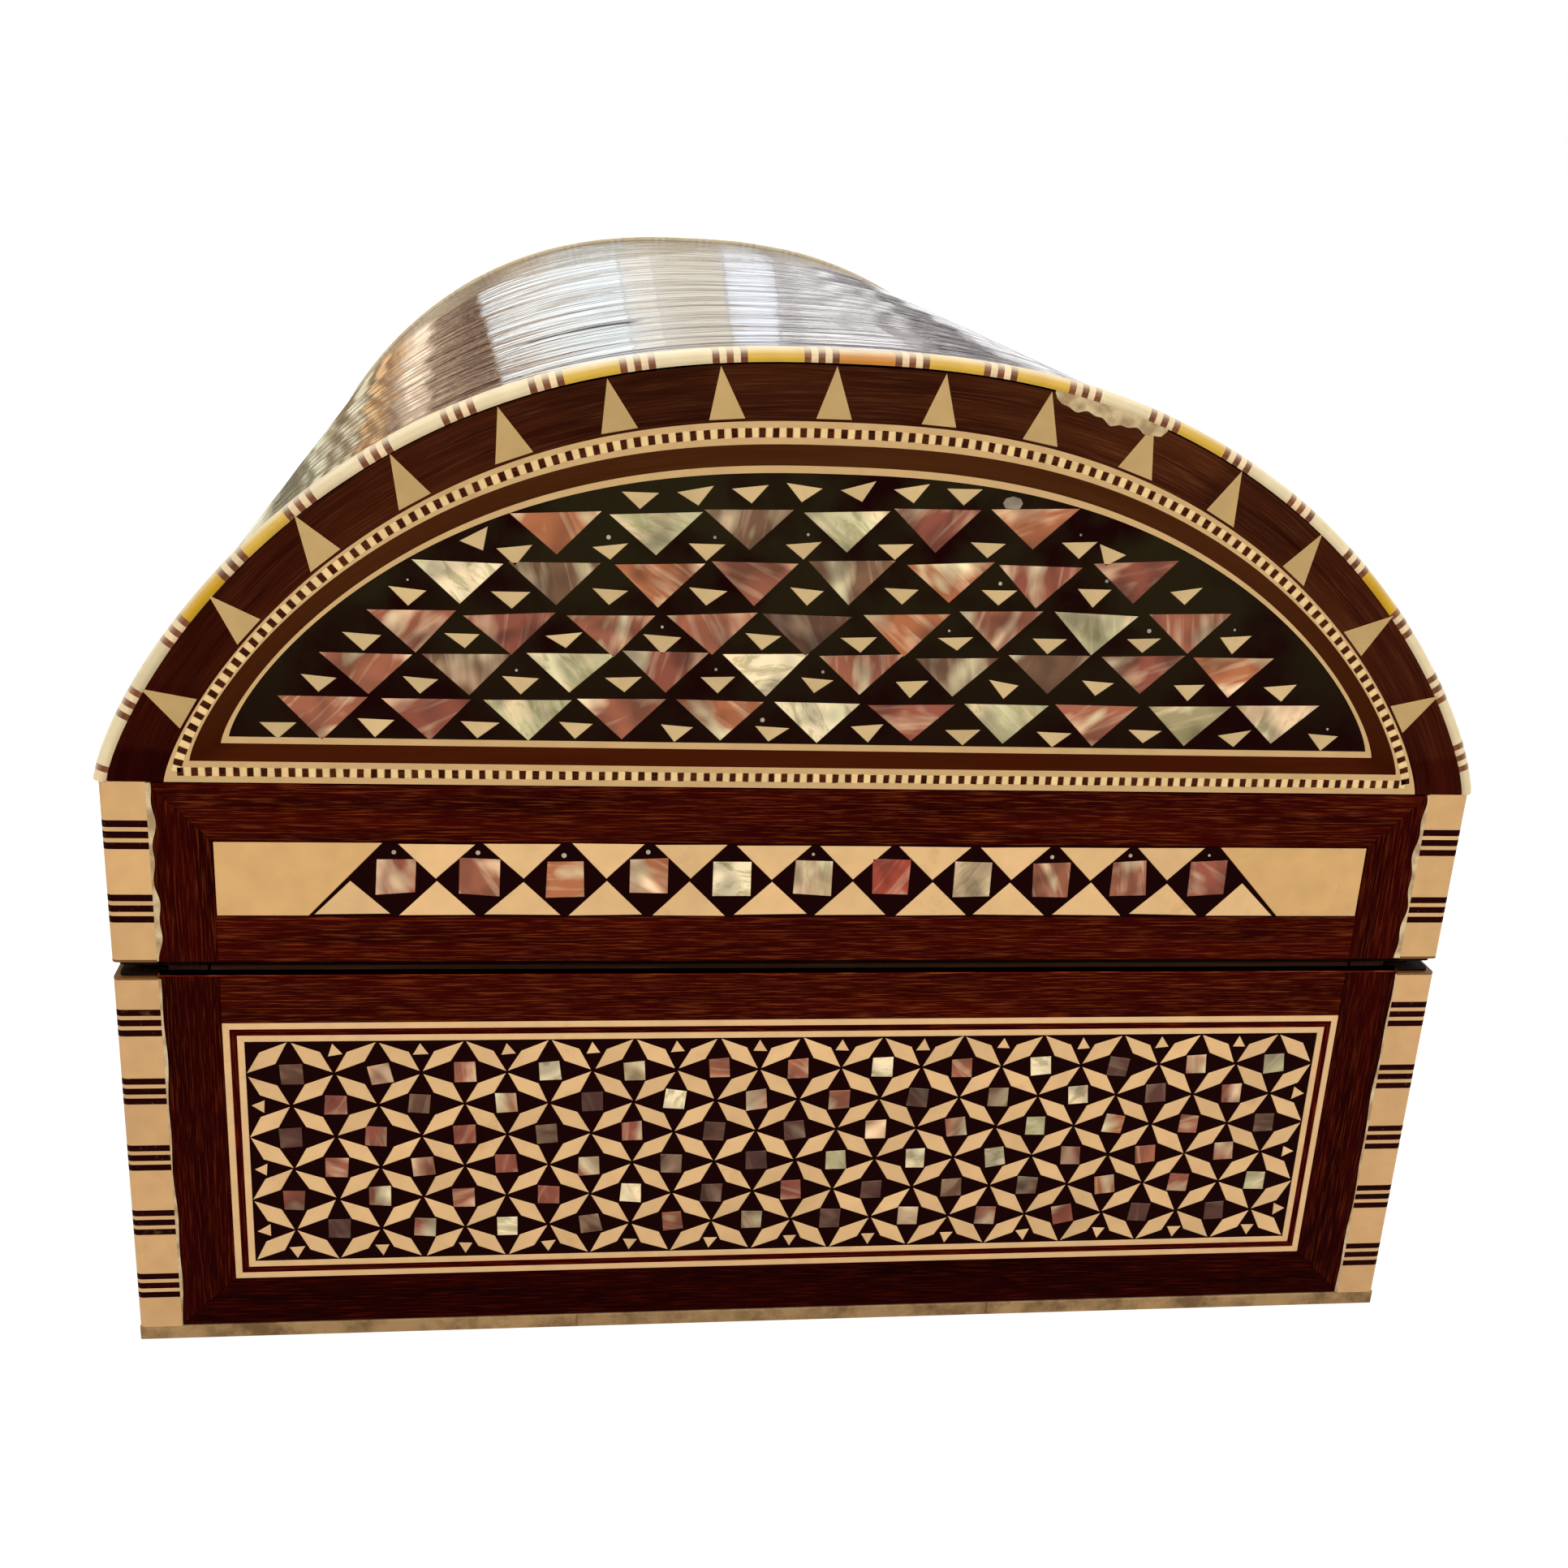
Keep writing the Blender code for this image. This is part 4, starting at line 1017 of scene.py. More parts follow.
# %% Corner strips and foot strips
BLOCK, SLICE = 4.55, 0.53
FACING = 1.8


def stripes(low, high, first, block=BLOCK, thin=SLICE, swell=0.0):
    """Block boundaries between low and high, and whether each is a dark slice: three slices begin at
    first, and each is wider by swell at both sides."""
    cuts, dark = [low], []
    start = first
    while start < high:
        for index in range(6):
            cuts.append(start + index * thin + (swell if index % 2 else -swell))
            dark.append(index % 2 == 1)
        start += block + 5 * thin
    keep = [cut < high - 0.1 for cut in cuts]
    cuts = [cut for cut, kept in zip(cuts, keep) if kept] + [high]
    return np.array(cuts), np.array(dark[:len(cuts) - 2] + [False])


def angle_outline(side_x, side_y, sunk=0.0):
    """Bent outline of a corner strip in plan, with its outer corner rounded over a quarter circle,
    sunk inwards."""
    turn = np.linspace(0, np.pi / 2, 5)
    bend = 0.55 * np.stack([1 - np.sin(turn), 1 - np.cos(turn)], -1)
    wide = STRIP + SEAT / 2
    legs = [(wide, 0), *bend, (0, wide), (FACING, wide), (FACING, FACING), (wide, FACING)]
    return [(side_x * (HALF_WIDTH - sunk - a), side_y * (HALF_LENGTH - sunk - b)) for a, b in legs]


CORNERS = [(x_word, y_word, x, y) for x_word, x in (("front", -1), ("back", 1))
           for y_word, y in (("right", -1), ("left", 1))]
CHIPPED = 0.25
STACKS = (("base", FOOT, BASE_TOP - CHIPPED, 5.0, "#C8A070"),
          ("lid", LID_FOOT + WORN, SPRING, 45.4, "#C9A270"))
JOINT_SHADOW_SPANS = {"base": (BASE_TOP - CHIPPED - 0.1, BASE_TOP), "lid": (LID_FOOT, LID_FOOT + WORN + 0.1)}
for body, low, high, first, cream in STACKS:
    cuts, dark = stripes(low, high, first, swell=0.06)
    at, by_joint = (1, 0) if body == "lid" else (len(cuts) - 1, -1)
    cuts = np.insert(cuts, at, low + 0.25 if body == "lid" else high - 0.2)
    dark = np.insert(dark, at - 1, False)
    foot, head = JOINT_SHADOW_SPANS[body]
    for x_word, y_word, x, y in CORNERS:
        outlines = np.repeat(np.array(angle_outline(x, y))[None], len(dark), 0)
        tints = np.where(dark[:, None], varied("#1E0303", len(dark), 0.1),
                         varied(cream, len(dark), 0.04))
        # The thin block by the joint is brown.
        tints[by_joint] = linear("#6E4A26")
        # The second part is a near-black block set back in the joint between base and lid: painted shadow.
        blocks = [tiles(outlines, tints, top=cuts[1:], bottom=cuts[:-1], bevel=0.03),
                  tiles([angle_outline(x, y, 0.5)], linear("#160C08"), top=head, bottom=foot, bevel=0.03)]
        lay(f"{body}_corner_strip_{x_word}_{y_word}", blocks, bone, body, "plan",
            [f"{body}_corner_{x_word}_{y_word}"])
    print(body, "corner strips:", len(dark), "blocks and slices each")

for face, half in (("right", HALF_WIDTH), ("left", HALF_WIDTH), ("front", HALF_LENGTH - FACING),
                   ("back", HALF_LENGTH - FACING)):
    joints = np.linspace(-half, half, 4)
    outline = [rectangle(start, end, 0, FOOT) for start, end in zip(joints, joints[1:])]
    strip = tiles(outline, varied("#9E8058", 3, 0.08), bottom=-FACING, bevel=0.12)
    lay(f"foot_strip_{face}", [strip], rough_bone, "base", face, [f"edge_strip_{face}"])

# %% Rim
RIM_DEPTH = 2.2
RIM_BLOCK, RIM_SLICE = 4.9, 0.61
AMBER = ("#94780E", "#BE7E30", "#BF9614", "#C9A43C")
AMBER_BLOCKS = (3, 6, 8, 9, 10, 11, 13, 17, 18)      # counted from the right foot of the photographed end


def rim_parts(rub_and_highlight):
    """Rounded section carried along the arch in blocks. A section point lies q inwards from the outer
    arch and w out of the end's face; the cuts along the arch alternate blocks and slices as on a
    corner strip. The outer edge is mixed with pale cream by the given share: a painted highlight on the
    rounded edge, which is also rubbed. The inner edge is mixed with brown."""
    outer, inner = arch(*RIM_OUT), arch(*RIM_IN)
    length = path_length(outer)
    cuts, dark = stripes(0.0, length, 2.9, RIM_BLOCK, RIM_SLICE)
    steps = 4
    share = np.linspace(0, 1, steps + 1)
    distance = cuts[:-1, None] + (cuts[1:] - cuts[:-1])[:, None] * share
    edge, tangent = walk(outer, np.clip(distance, CLEAR, length - CLEAR))
    inward = left_of(tangent)
    width = np.linalg.norm(outer - inner, axis=1).mean()
    q = np.array([0.0, 0.0, 0.1, 0.37, 0.75, width, width])
    w = np.array([-RIM_DEPTH, -0.75, -0.37, -0.1, 0.0, 0.0, -RIM_DEPTH])
    uneven = dice.normal(0, 0.02, (len(dark), 1, 1, 1))
    flat = edge[:, :, None] + inward[:, :, None] * (q[:, None] + np.abs(uneven))
    points = np.concatenate([flat, np.broadcast_to(w[:, None], flat.shape[:3] + (1,))], -1)
    around = len(q)
    base = (np.arange(len(dark)) * (steps + 1) * around)[:, None, None]
    here = base + (np.arange(steps) * around)[:, None] + np.arange(around)
    over = base + (np.arange(steps) * around)[:, None] + (np.arange(around) + 1) % around
    faces = np.stack([here, here + around, over + around, over], -1).reshape(-1, 4)
    ring = np.arange(around)
    caps = np.concatenate([base[:, 0] + ring, base[:, 0] + steps * around + ring[::-1]])
    flat_points = points.reshape(-1, 3)
    amber = np.array([linear(code) for code in AMBER])[dice.integers(0, len(AMBER), len(dark))]
    yellowed = np.isin(np.arange(len(dark)), 6 * np.array(AMBER_BLOCKS))[:, None]
    plain = np.where(yellowed, amber, varied("#D4C6A2", len(dark), 0.05))
    short = (cuts[1:] - cuts[:-1] < 1)[:, None]
    tints = np.where(dark[:, None], varied("#6B3A22", len(dark), 0.2),
                     np.where(short, varied("#DCC6A0", len(dark), 0.05), plain))
    # Pale cream on the rounded outer edge: a painted highlight, on an edge that is also rubbed.
    rubbed_highlight = rub_and_highlight * np.array([1.0, 1.0, 0.8, 0.2, 0.0, 0.0, 0.0])[:, None]
    # Brown towards the inner edge, next to the veneer.
    browned_inner = np.array([0.0, 0.0, 0.0, 0.0, 0.0, 0.4, 0.4])[:, None]
    laid = linear("#F2E8CC") * rubbed_highlight + linear("#6A4A28") * browned_inner
    mixed = tints[:, None, None] * (1 - rubbed_highlight - browned_inner) + laid
    return {"points": flat_points, "tint": np.repeat(mixed, steps + 1, 1).reshape(-1, 3),
            "faces": [(faces, flat_points[faces][..., :2]), (caps, flat_points[caps][..., :2])]}


# Share of pale cream on each end's outer edge, a painted highlight, stronger on the left end.
for face, rub_and_highlight in (("right", 0.7), ("left", 0.92)):
    lay(f"rim_{face}", [rim_parts(rub_and_highlight)], bone, "lid", face, [f"rim_banding_{face}"])
print("rims:", made["rim_right"], "faces each")

# %% [markdown]
# ## The dome
# The top is a thin board bent over the arch and veneered with the grain running round it. Thick glossy
# lacquer follows the grain, so light breaks into ripples a few millimetres apart across the dome. The
# board is a closed section, the outer arch and the inner arch, carried along the box; slow waves of a
# tenth of a millimetre keep its reflections from looking machined, and the fine ripples are left to the
# material. So is a short crack in the lacquer on the front shoulder, which follows the grain: the lacquer
# is missing there and the wood is dark.

# %% Dome veneer
CRACK_Y, CRACK_HALF = -56.0, 1.7           # place along the box and half width of a crack in the lacquer
CRACK_MIDDLE, CRACK_REACH = 103.5, 5.0     # its middle and its reach, in millimetres walked round the arch
CRACK_SWAY = 2.2                           # how far it wanders to either side
dome_veneer = blank("rippled lacquer over dome veneer")


def apart(value, middle):
    """How far a value lies from a middle, to either side."""
    return compute(dome_veneer, "ABSOLUTE", compute(dome_veneer, "SUBTRACT", value, middle))


place = on_piece(dome_veneer)
figure = noise(dome_veneer, stretched(dome_veneer, place, 45, 3.5, 1), 4.0, Distortion=0.5)
ripple = noise(dome_veneer, stretched(dome_veneer, place, 36, 5, 1), 4.0, Roughness=0.55, Distortion=0.3)
fibres = noise(dome_veneer, stretched(dome_veneer, place, 7, 0.22, 1), 3.0)
ground = mix(dome_veneer, ramp(dome_veneer, figure, 0.35, 0.65), "#22090A", "#41160F")
grained = mix(dome_veneer, ramp(dome_veneer, fibres, 0.5, 0.75, end=0.8), ground, "#6B3A22")
walked = put(dome_veneer, "SeparateXYZ", {"Vector": place}).outputs
sway = ramp(dome_veneer, noise(dome_veneer, place, 2.0, 9), start=(CRACK_Y - CRACK_SWAY) * MM,
            end=(CRACK_Y + CRACK_SWAY) * MM)
near = ramp(dome_veneer, apart(walked["Y"], sway), 0.0, CRACK_HALF * MM, 1.0, 0.0)
within = ramp(dome_veneer, apart(walked["X"], CRACK_MIDDLE * MM), CRACK_REACH * MM, (CRACK_REACH + 2) * MM,
              1.0, 0.0)
crack = compute(dome_veneer, "MULTIPLY", near, within)
hills = relief(dome_veneer, ripple, 1.0, 1.1)
rippled = relief(dome_veneer, fibres, 0.6, 0.02, Normal=hills)
cracked = mix(dome_veneer, crack, grained, "#2C1418")
coat = ramp(dome_veneer, crack, start=0.85, end=0.0)
surfaced(dome_veneer, {"Base Color": cracked, "Roughness": 0.35, "IOR": 1.5, "Specular IOR Level": 0.0,
                       "Normal": rippled, "Coat Weight": coat, "Coat Roughness": 0.03, "Coat IOR": 1.5,
                       "Coat Normal": rippled})
print("material:", dome_veneer.name)

# %% Dome
DOME_OUT, DOME_IN = (HALF_WIDTH, SPRING, span("dome_board")[1][2]), (61.5, SPRING, 95.4)
DOME_HALF = span("dome_board")[1][1]


def waves(s, y, height):
    """Slow unevenness: a sum of six sines of random direction, wavelengths from 25 to 70 mm."""
    total = np.zeros(np.broadcast(s, y).shape)
    for _ in range(6):
        turn, phase, length = dice.uniform(0, np.pi), dice.uniform(0, 2 * np.pi), dice.uniform(25, 70)
        total += np.sin(2 * np.pi * (np.cos(turn) * s + np.sin(turn) * y) / length + phase)
    return total * height / 6


def dome_part(along=150, across=72):
    """Outer and inner arch as one closed section, carried from end to end; only the outer half is
    uneven."""
    path = arch(*DOME_OUT)
    length = path_length(path)
    distance = np.linspace(0, length, along)
    outer, tangent = walk(path, np.clip(distance, CLEAR, length - CLEAR))
    foot = SPRING + SEAT
    outer[[0, -1], 1] = foot
    inward = left_of(tangent)
    lowered = foot + (outer[:, 1] - foot) * (DOME_IN[2] - SPRING) / (DOME_OUT[2] - SPRING)
    inner = np.stack([outer[:, 0] * DOME_IN[0] / DOME_OUT[0], lowered], -1)
    y = np.linspace(-DOME_HALF, DOME_HALF, across)
    sink = np.abs(waves(distance[:, None], y[None], 0.16)) * np.sin(np.pi * distance / length)[:, None]
    upper = outer[:, None] + inward[:, None] * sink[..., None]
    lower = np.broadcast_to(inner[::-1, None], upper.shape)
    section = np.concatenate([upper, lower], 0)
    points = np.stack([section[..., 0], np.broadcast_to(y, section.shape[:2]), section[..., 1]], -1)
    around = 2 * along
    here = np.arange(around)[:, None] * across + np.arange(across - 1)
    over = (np.arange(around)[:, None] + 1) % around * across + np.arange(across - 1)
    faces = np.stack([here, here + 1, over + 1, over], -1).reshape(-1, 4)
    walked = np.concatenate([distance, length + 3 + distance, [2 * length + 6]])
    start, end = walked[:-1], walked[1:]
    run = np.stack([start, start, end, end], -1)[:, None] + np.zeros((1, across - 1, 1))
    rise = np.stack([y[:-1], y[1:], y[1:], y[:-1]], -1)[None] + np.zeros((around, 1, 1))
    rim = np.arange(along - 1)
    edge = np.stack([rim, rim + 1, around - 2 - rim, around - 1 - rim], -1) * across
    caps = np.concatenate([edge, edge[:, ::-1] + across - 1])
    flat = points.reshape(-1, 3)
    pattern = np.stack([run, rise], -1).reshape(-1, 4, 2)
    return {"points": flat, "tint": np.ones((len(flat), 3)),
            "faces": [(faces, pattern), (caps, flat[caps][..., [0, 2]])]}


lay("dome", [dome_part()], dome_veneer, "lid", "plan", ["dome_board"], smooth=True)
print("dome:", made["dome"], "faces")

# %% [markdown]
# ## Brass hinges
# Two small butt hinges are let into the back edge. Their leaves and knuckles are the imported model's own,
# because their shape is right; they get a brushed, slightly tarnished brass. Three slotted steel screws
# hold each leaf: two half-moons side by side leave the slot between them.

# %% Brass and screws
def metal(name, clean, tarnished):
    """Metal brushed along the box: a noise drawn out 30 to 1 ripples it, and a second one tarnishes it
    in patches."""
    material = blank(name)
    spot = on_box(material)
    brushed = noise(material, stretched(material, spot, 0.2, 6, 0.2), 3.0)
    patches = noise(material, spot, 4.0, 3)
    colour = mix(material, ramp(material, patches, 0.45, 0.75, end=0.7), clean, tarnished)
    return surfaced(material, {"Base Color": colour, "Metallic": 1.0,
                               "Roughness": ramp(material, brushed, start=0.2, end=0.5),
                               "Normal": relief(material, brushed, 0.3, 0.01)})


brass = metal("brushed brass", "#C9A45A", "#7A5A2C")
steel = metal("browned steel", "#6E665C", "#3A2E26")
SCREW_RADIUS, SLOT_HALF, PROUD, SUNK = 1.25, 0.17, 0.08, 0.3
SCREW_STEPS = (-6.5, 0.0, 6.5)    # screws along a leaf
LEAF_IN = 2.2                     # distance of the screws from the leaf's inner edge
LEAF_X = span("hinge_base_leaf_left")[0][0] + LEAF_IN
LEAF_FACES = {"base": (40.3, 1), "lid": (40.6, -1)}    # height of each leaf's face, and the way it looks
for body, (height, up) in LEAF_FACES.items():
    seats = np.array([(LEAF_X, middle + step) for middle in HINGE_MIDDLES for step in SCREW_STEPS])
    start = np.arcsin(SLOT_HALF / SCREW_RADIUS)
    turn = np.linspace(start, np.pi - start, 9)
    moon = SCREW_RADIUS * np.stack([np.cos(turn), np.sin(turn)], -1)
    angles = dice.uniform(0, np.pi, len(seats))
    halves = np.concatenate([turned(moon, seats, angles), turned(-moon, seats, angles)])
    low, high = sorted((height - up * SUNK, height + up * PROUD))
    heads = tiles(halves, (1, 1, 1), top=high, bottom=low, bevel=0.03)
    lay(f"hinge_screws_{body}", [heads], steel, body)
for word in ENDS:
    for node in (f"hinge_base_leaf_{word}", f"hinge_lid_leaf_{word}", f"hinge_pin_{word}"):
        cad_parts[node].material_slots[0].material = brass
print("screws:", 2 * len(seats))

# %% [markdown]
# ## The carcass
# Behind the facings are the walls, the bottom and the lid's rails and end boards. They show only as edges
# when the lid is open, and from below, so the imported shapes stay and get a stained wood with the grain
# along each board.

# %% Carcass woods
BOARDS = {board_along: ("base_wall_front", "base_wall_back", "bottom_board", "lid_rail_front",
                        "lid_rail_back"),
          board_across: ("base_wall_right", "base_wall_left", "lid_board_right", "lid_board_left")}
for material, nodes in BOARDS.items():
    for node in nodes:
        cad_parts[node].material_slots[0].material = material
print("carcass boards:", sum(len(nodes) for nodes in BOARDS.values()))

# %% [markdown]
# ## Velvet
# The inside is lined with velvet glued over thin card, and the floor has a soft pad. Velvet is a dense
# cut pile: it looks deep red where one looks into the pile and pale at the rim of every curve, and it
# keeps the marks of a hand. A sheen layer gives the rim, and two noises give the brushed patches and the
# pile.

# %% Velvet
velvet = blank("dark red cotton velvet")
spot = on_box(velvet)
brushed = noise(velvet, spot, 3.0, 16, Distortion=0.8)
pile = noise(velvet, spot, 3.0, 0.35)
cloth = mix(velvet, ramp(velvet, brushed, 0.35, 0.65), "#4E0616", "#74101F")
deep = multiply(velvet, cloth, ramp(velvet, pile, 0.3, 0.7, 0.7, 1.1))
surfaced(velvet, {"Base Color": deep, "Roughness": 0.9, "Specular IOR Level": 0.1,
                  "Normal": relief(velvet, pile, 0.6, 0.12), "Sheen Weight": 0.5, "Sheen Roughness": 0.4,
                  "Sheen Tint": socket_colour("#D88A90")})
print("material:", velvet.name)

# %% [markdown]
# ## Linings and the floor pad
# A pad is a closed form that is flat where it rests, rounded over at its edges and crowned in the middle,
# with sides that pull in a little between its corners. Cloth simulation would do the same for a thick
# cushion; these pads are one to three millimetres thick, thinner than a remesh would keep, so the crown
# is worked out directly.

# %% Pads
def lens_mesh(front, back):
    """Two grids (rows, columns, 3) that share their border become one closed mesh, front outwards."""
    rows, columns = front.shape[:2]
    index = np.arange(rows * columns).reshape(rows, columns)
    border = np.ones((rows, columns), bool)
    border[1:-1, 1:-1] = False
    behind = np.where(border, index, index + rows * columns)
    quads = [np.stack([g[:-1, :-1], g[1:, :-1], g[1:, 1:], g[:-1, 1:]], -1).reshape(-1, 4)
             for g in (index, behind)]
    faces = np.concatenate([quads[0], quads[1][:, ::-1]])
    used, packed = np.unique(faces, return_inverse=True)
    points = np.concatenate([front.reshape(-1, 3), back.reshape(-1, 3)])[used]
    faces = packed.reshape(-1, 4)
    return {"points": points, "tint": np.ones((len(points), 3)), "faces": [(faces, points[faces][..., :2])]}


def rounded(distance, radius):
    """Quarter-circle rise from 0 at an edge to 1 at the radius: sqrt(1 - (1 - d / r)^2)."""
    return np.sqrt(1 - (1 - np.clip(distance / radius, 0, 1)) ** 2)


def spaced(count):
    """Positions from -1 to 1 that crowd together towards both ends: sin of an even turn."""
    return np.sin(np.linspace(-np.pi / 2, np.pi / 2, count))


def pad(origin, axes, half_a, half_b, thick, crown, pull, counts=(46, 34), radius=0.9):
    """Pad on a flat rest: rounded edges times thick + crown (1 - p^2)(1 - q^2) and slow waves; its sides
    are pulled in by pull (1 - p^2)."""
    p, q = np.meshgrid(spaced(counts[0]), spaced(counts[1]), indexing="ij")
    a = p * (half_a - pull * (1 - q ** 2))
    b = q * (half_b - pull * (1 - p ** 2))
    edge = rounded(half_a * (1 - np.abs(p)), radius) * rounded(half_b * (1 - np.abs(q)), radius)
    swell = (1 - p ** 2) * (1 - q ** 2)
    rise = edge * (thick + crown * swell + waves(a, b, 0.12) * swell)
    rise[[0, -1]] = 0
    rise[:, [0, -1]] = 0
    base = np.stack([a, b, np.zeros_like(a)], -1) @ np.array(axes, float) + np.array(origin, float)
    return lens_mesh(base + rise[..., None] * np.array(axes[2], float), base)


X, Y, Z = np.eye(3)
WALL_PAD, FLOOR_PAD = (1.15, 0.35, 0.1), (2.2, 0.9, 0.3)      # thickness, crown and pull of a pad
INSIDE = {"front": (Y, Z, X), "back": (-Y, Z, -X), "right": (-X, Z, Y), "left": (X, Z, -Y)}
for word, axes in INSIDE.items():
    low, high = span(f"base_lining_{word}")
    middle, half = (low + high) / 2, (high - low) / 2
    rest = middle - axes[2] * (half @ np.abs(axes[2]))
    cushion = pad(rest, axes, half @ np.abs(axes[0]), half[2], *WALL_PAD)
    piece = lay(f"velvet_wall_{word}", [cushion], velvet, "base", "plan", [f"base_lining_{word}"],
                smooth=True)
low, high = span("floor_pad")
middle, half = (low + high) / 2, (high - low) / 2
cushion = pad((*middle[:2], low[2]), (X, Y, Z), *half[:2], *FLOOR_PAD, counts=(60, 80), radius=2.2)
floor_pad = lay("velvet_floor_pad", [cushion], velvet, "base", "plan", ["floor_pad"], smooth=True)
print("base pads:", made["velvet_floor_pad"], "faces on the floor")

# %% Lid linings
END_PAD_MIDDLE = 66.0             # height of the point to which the rings of an end pad shrink


def legged(half, foot, crown, steps=90):
    """The lining's outline: up a straight leg from its foot to the spring, over the arch and down
    again."""
    turn = np.linspace(0, np.pi, steps)
    over = arch(half, SPRING, crown, turn)
    leg = np.stack([np.full(10, half), np.linspace(foot, SPRING, 11)[:-1]], -1)
    return np.vstack([leg, over, leg[::-1] * (-1, 1)])


def dome_pad():
    """Sheet under the dome: rests on the outer outline, thickened inwards, rounded at all four edges."""
    low, high = span("dome_lining")
    path = legged(high[0], low[2], high[2])
    length = path_length(path)
    distance = np.concatenate([[0, 0.1, 0.3, 0.6, 1.0], np.linspace(2, length - 2, 84),
                               length - np.array([1.0, 0.6, 0.3, 0.1, 0])])
    place, tangent = walk(path, np.clip(distance, 0.0, length))
    inward = left_of(tangent)
    y = high[1] * spaced(60)
    s_edge = rounded(np.minimum(distance, length - distance), 1.0)[:, None]
    y_edge = rounded(high[1] - np.abs(y), 1.0)[None]
    calm = (1 - (y / high[1]) ** 8)[None] * np.sin(np.pi * distance / length)[:, None]
    rise = s_edge * y_edge * (1.15 + calm * (0.2 + waves(distance[:, None], y[None], 0.2)))
    rise[[0, -1]] = 0
    rise[:, [0, -1]] = 0
    flat = place[:, None] + np.zeros((1, len(y), 1))
    inner = flat + inward[:, None] * rise[..., None]
    sheets = [np.stack([g[..., 0], np.broadcast_to(y, g.shape[:2]), g[..., 1]], -1) for g in (inner, flat)]
    return lens_mesh(*sheets)


def end_pad(word):
    """Arched pad on an end board: rings of its outline shrink to the middle while the pad rises to its
    crown."""
    low, high = span(f"lid_lining_{word}")
    outline = legged(high[0], low[2], high[2], 60)
    centre = np.array((0, END_PAD_MIDDLE))
    shrink = np.array([1, 0.998, 0.994, 0.988, 0.97, 0.93, 0.85, 0.7, 0.5, 0.25])
    rise = rounded((1 - shrink) * 45, 0.8) * (1.05 + 0.3 * (1 - shrink ** 2))
    rings = centre + (outline - centre) * shrink[:, None, None]
    steps = len(outline)
    drawn = np.concatenate([rings, np.broadcast_to(rise[:, None, None], rings.shape[:2] + (1,))], -1)
    here = np.arange(len(shrink) - 1)[:, None] * steps + np.arange(steps)
    over = np.arange(len(shrink) - 1)[:, None] * steps + (np.arange(steps) + 1) % steps
    faces = np.stack([here, over, over + steps, here + steps], -1).reshape(-1, 4)
    flat = drawn.reshape(-1, 3)
    caps = np.stack([(len(shrink) - 1) * steps + np.arange(steps), np.arange(steps)[::-1]])
    side = -1 if word == "right" else 1
    rest = low[1] if side < 0 else high[1]
    points = flat @ np.array([(side, 0, 0), (0, 0, 1), (0, -side, 0)], float) + np.array((0, rest, 0))
    return {"points": points, "tint": np.ones((len(points), 3)),
            "faces": [(faces, flat[faces][..., :2]), (caps, flat[caps][..., :2])]}


lining = lay("velvet_dome", [dome_pad()], velvet, "lid", "plan", ["dome_lining"], smooth=True)
for word in ENDS:
    piece = lay(f"velvet_lid_end_{word}", [end_pad(word)], velvet, "lid", "plan",
                [f"lid_lining_{word}"], smooth=True)
print("lid pads:", made["velvet_dome"], "faces under the dome")

# %% [markdown]
# ## Glue beside the corner strips
# The corner strips went on last, and the glue that came out beside them has dried to an uneven amber
# line. It shows on the photographed end, so it is laid there only, with the same strip function as the
# mark on the arch.

# %% Glue lines
GLUE_WIDE = {"base": 0.22, "lid": 0.42}


def glue_line(side, low, high, wide):
    """Upright strip along a corner strip's inner edge: its width is wide times 1 plus two slow waves."""
    share = np.linspace(0, 1, 60)[::side]
    across = np.full(len(share), side * (HALF_WIDTH - STRIP - SEAT / 2))
    edge = np.stack([across, low + (high - low) * share], -1)
    width = wide * (1 + 0.4 * np.sin(11 * share + side) + 0.3 * np.sin(29 * share + 2 * side))
    inner = edge - np.stack([side * width, 0 * width], -1)
    return band(edge, inner, np.ones(3), top=0.02, bottom=-0.3, closed=False)


for body, (low, high) in {"base": (FOOT, BASE_TOP - CHIPPED), "lid": (LID_FOOT + WORN, SPRING)}.items():
    lines = [glue_line(side, low + 0.1, high - 0.1, GLUE_WIDE[body]) for side in (-1, 1)]
    lay(f"glue_lines_{body}_right", lines, glue, body, "right")
print("glue lines:", 2 * len(GLUE_WIDE))

# %% [markdown]
# ## Floor, world and lamps
# The box stands on a plain white floor in soft light. The floor and the world look white to the camera
# and in reflections, and a weaker light reaches the box, so a colour renders about as it is written. Part
# of the floor's brightness is its own and part is light that falls on it, so the box still throws a soft
# shadow. Four narrow strip lights stand behind the box, as a photographer puts them for anything
# lacquered: they hardly light it, but the rippled dome mirrors them as bright streaks. Mottled cards
# stand beside them and lie on the floor before them; the dome's shoulders mirror those, so that the
# lacquer shows depth there. Neither the strips nor the cards are seen by the camera.

# %% Stage
def seen_directly(material):
    """1 for rays from the camera, from glossy reflections and through glass, 0 for light on the
    object."""
    path = put(material, "LightPath").outputs
    seen = compute(material, "MAXIMUM", path["Is Camera Ray"], path["Is Glossy Ray"])
    return compute(material, "MAXIMUM", seen, path["Is Transmission Ray"])


def sheet(name, corners, material):
    """A single four-cornered face."""
    mesh = bpy.data.meshes.new(name)
    mesh.from_pydata(corners, [], [(0, 1, 2, 3)])
    mesh.materials.append(material)
    return placed(name, mesh)


def area_lamp(name, place, direction, colour, power, wide, tall=None):
    """A square lamp, or a rectangle where a height is given, that shines in a direction."""
    lamp = bpy.data.lights.new(name, "AREA")
    lamp.size, lamp.energy, lamp.color = wide, power, linear(colour)
    if tall:
        lamp.shape, lamp.size_y = "RECTANGLE", tall
    stand = placed(name, lamp)
    stand.location = place
    stand.rotation_euler = Vector(direction).to_track_quat("-Z", "Y").to_euler()
    return stand


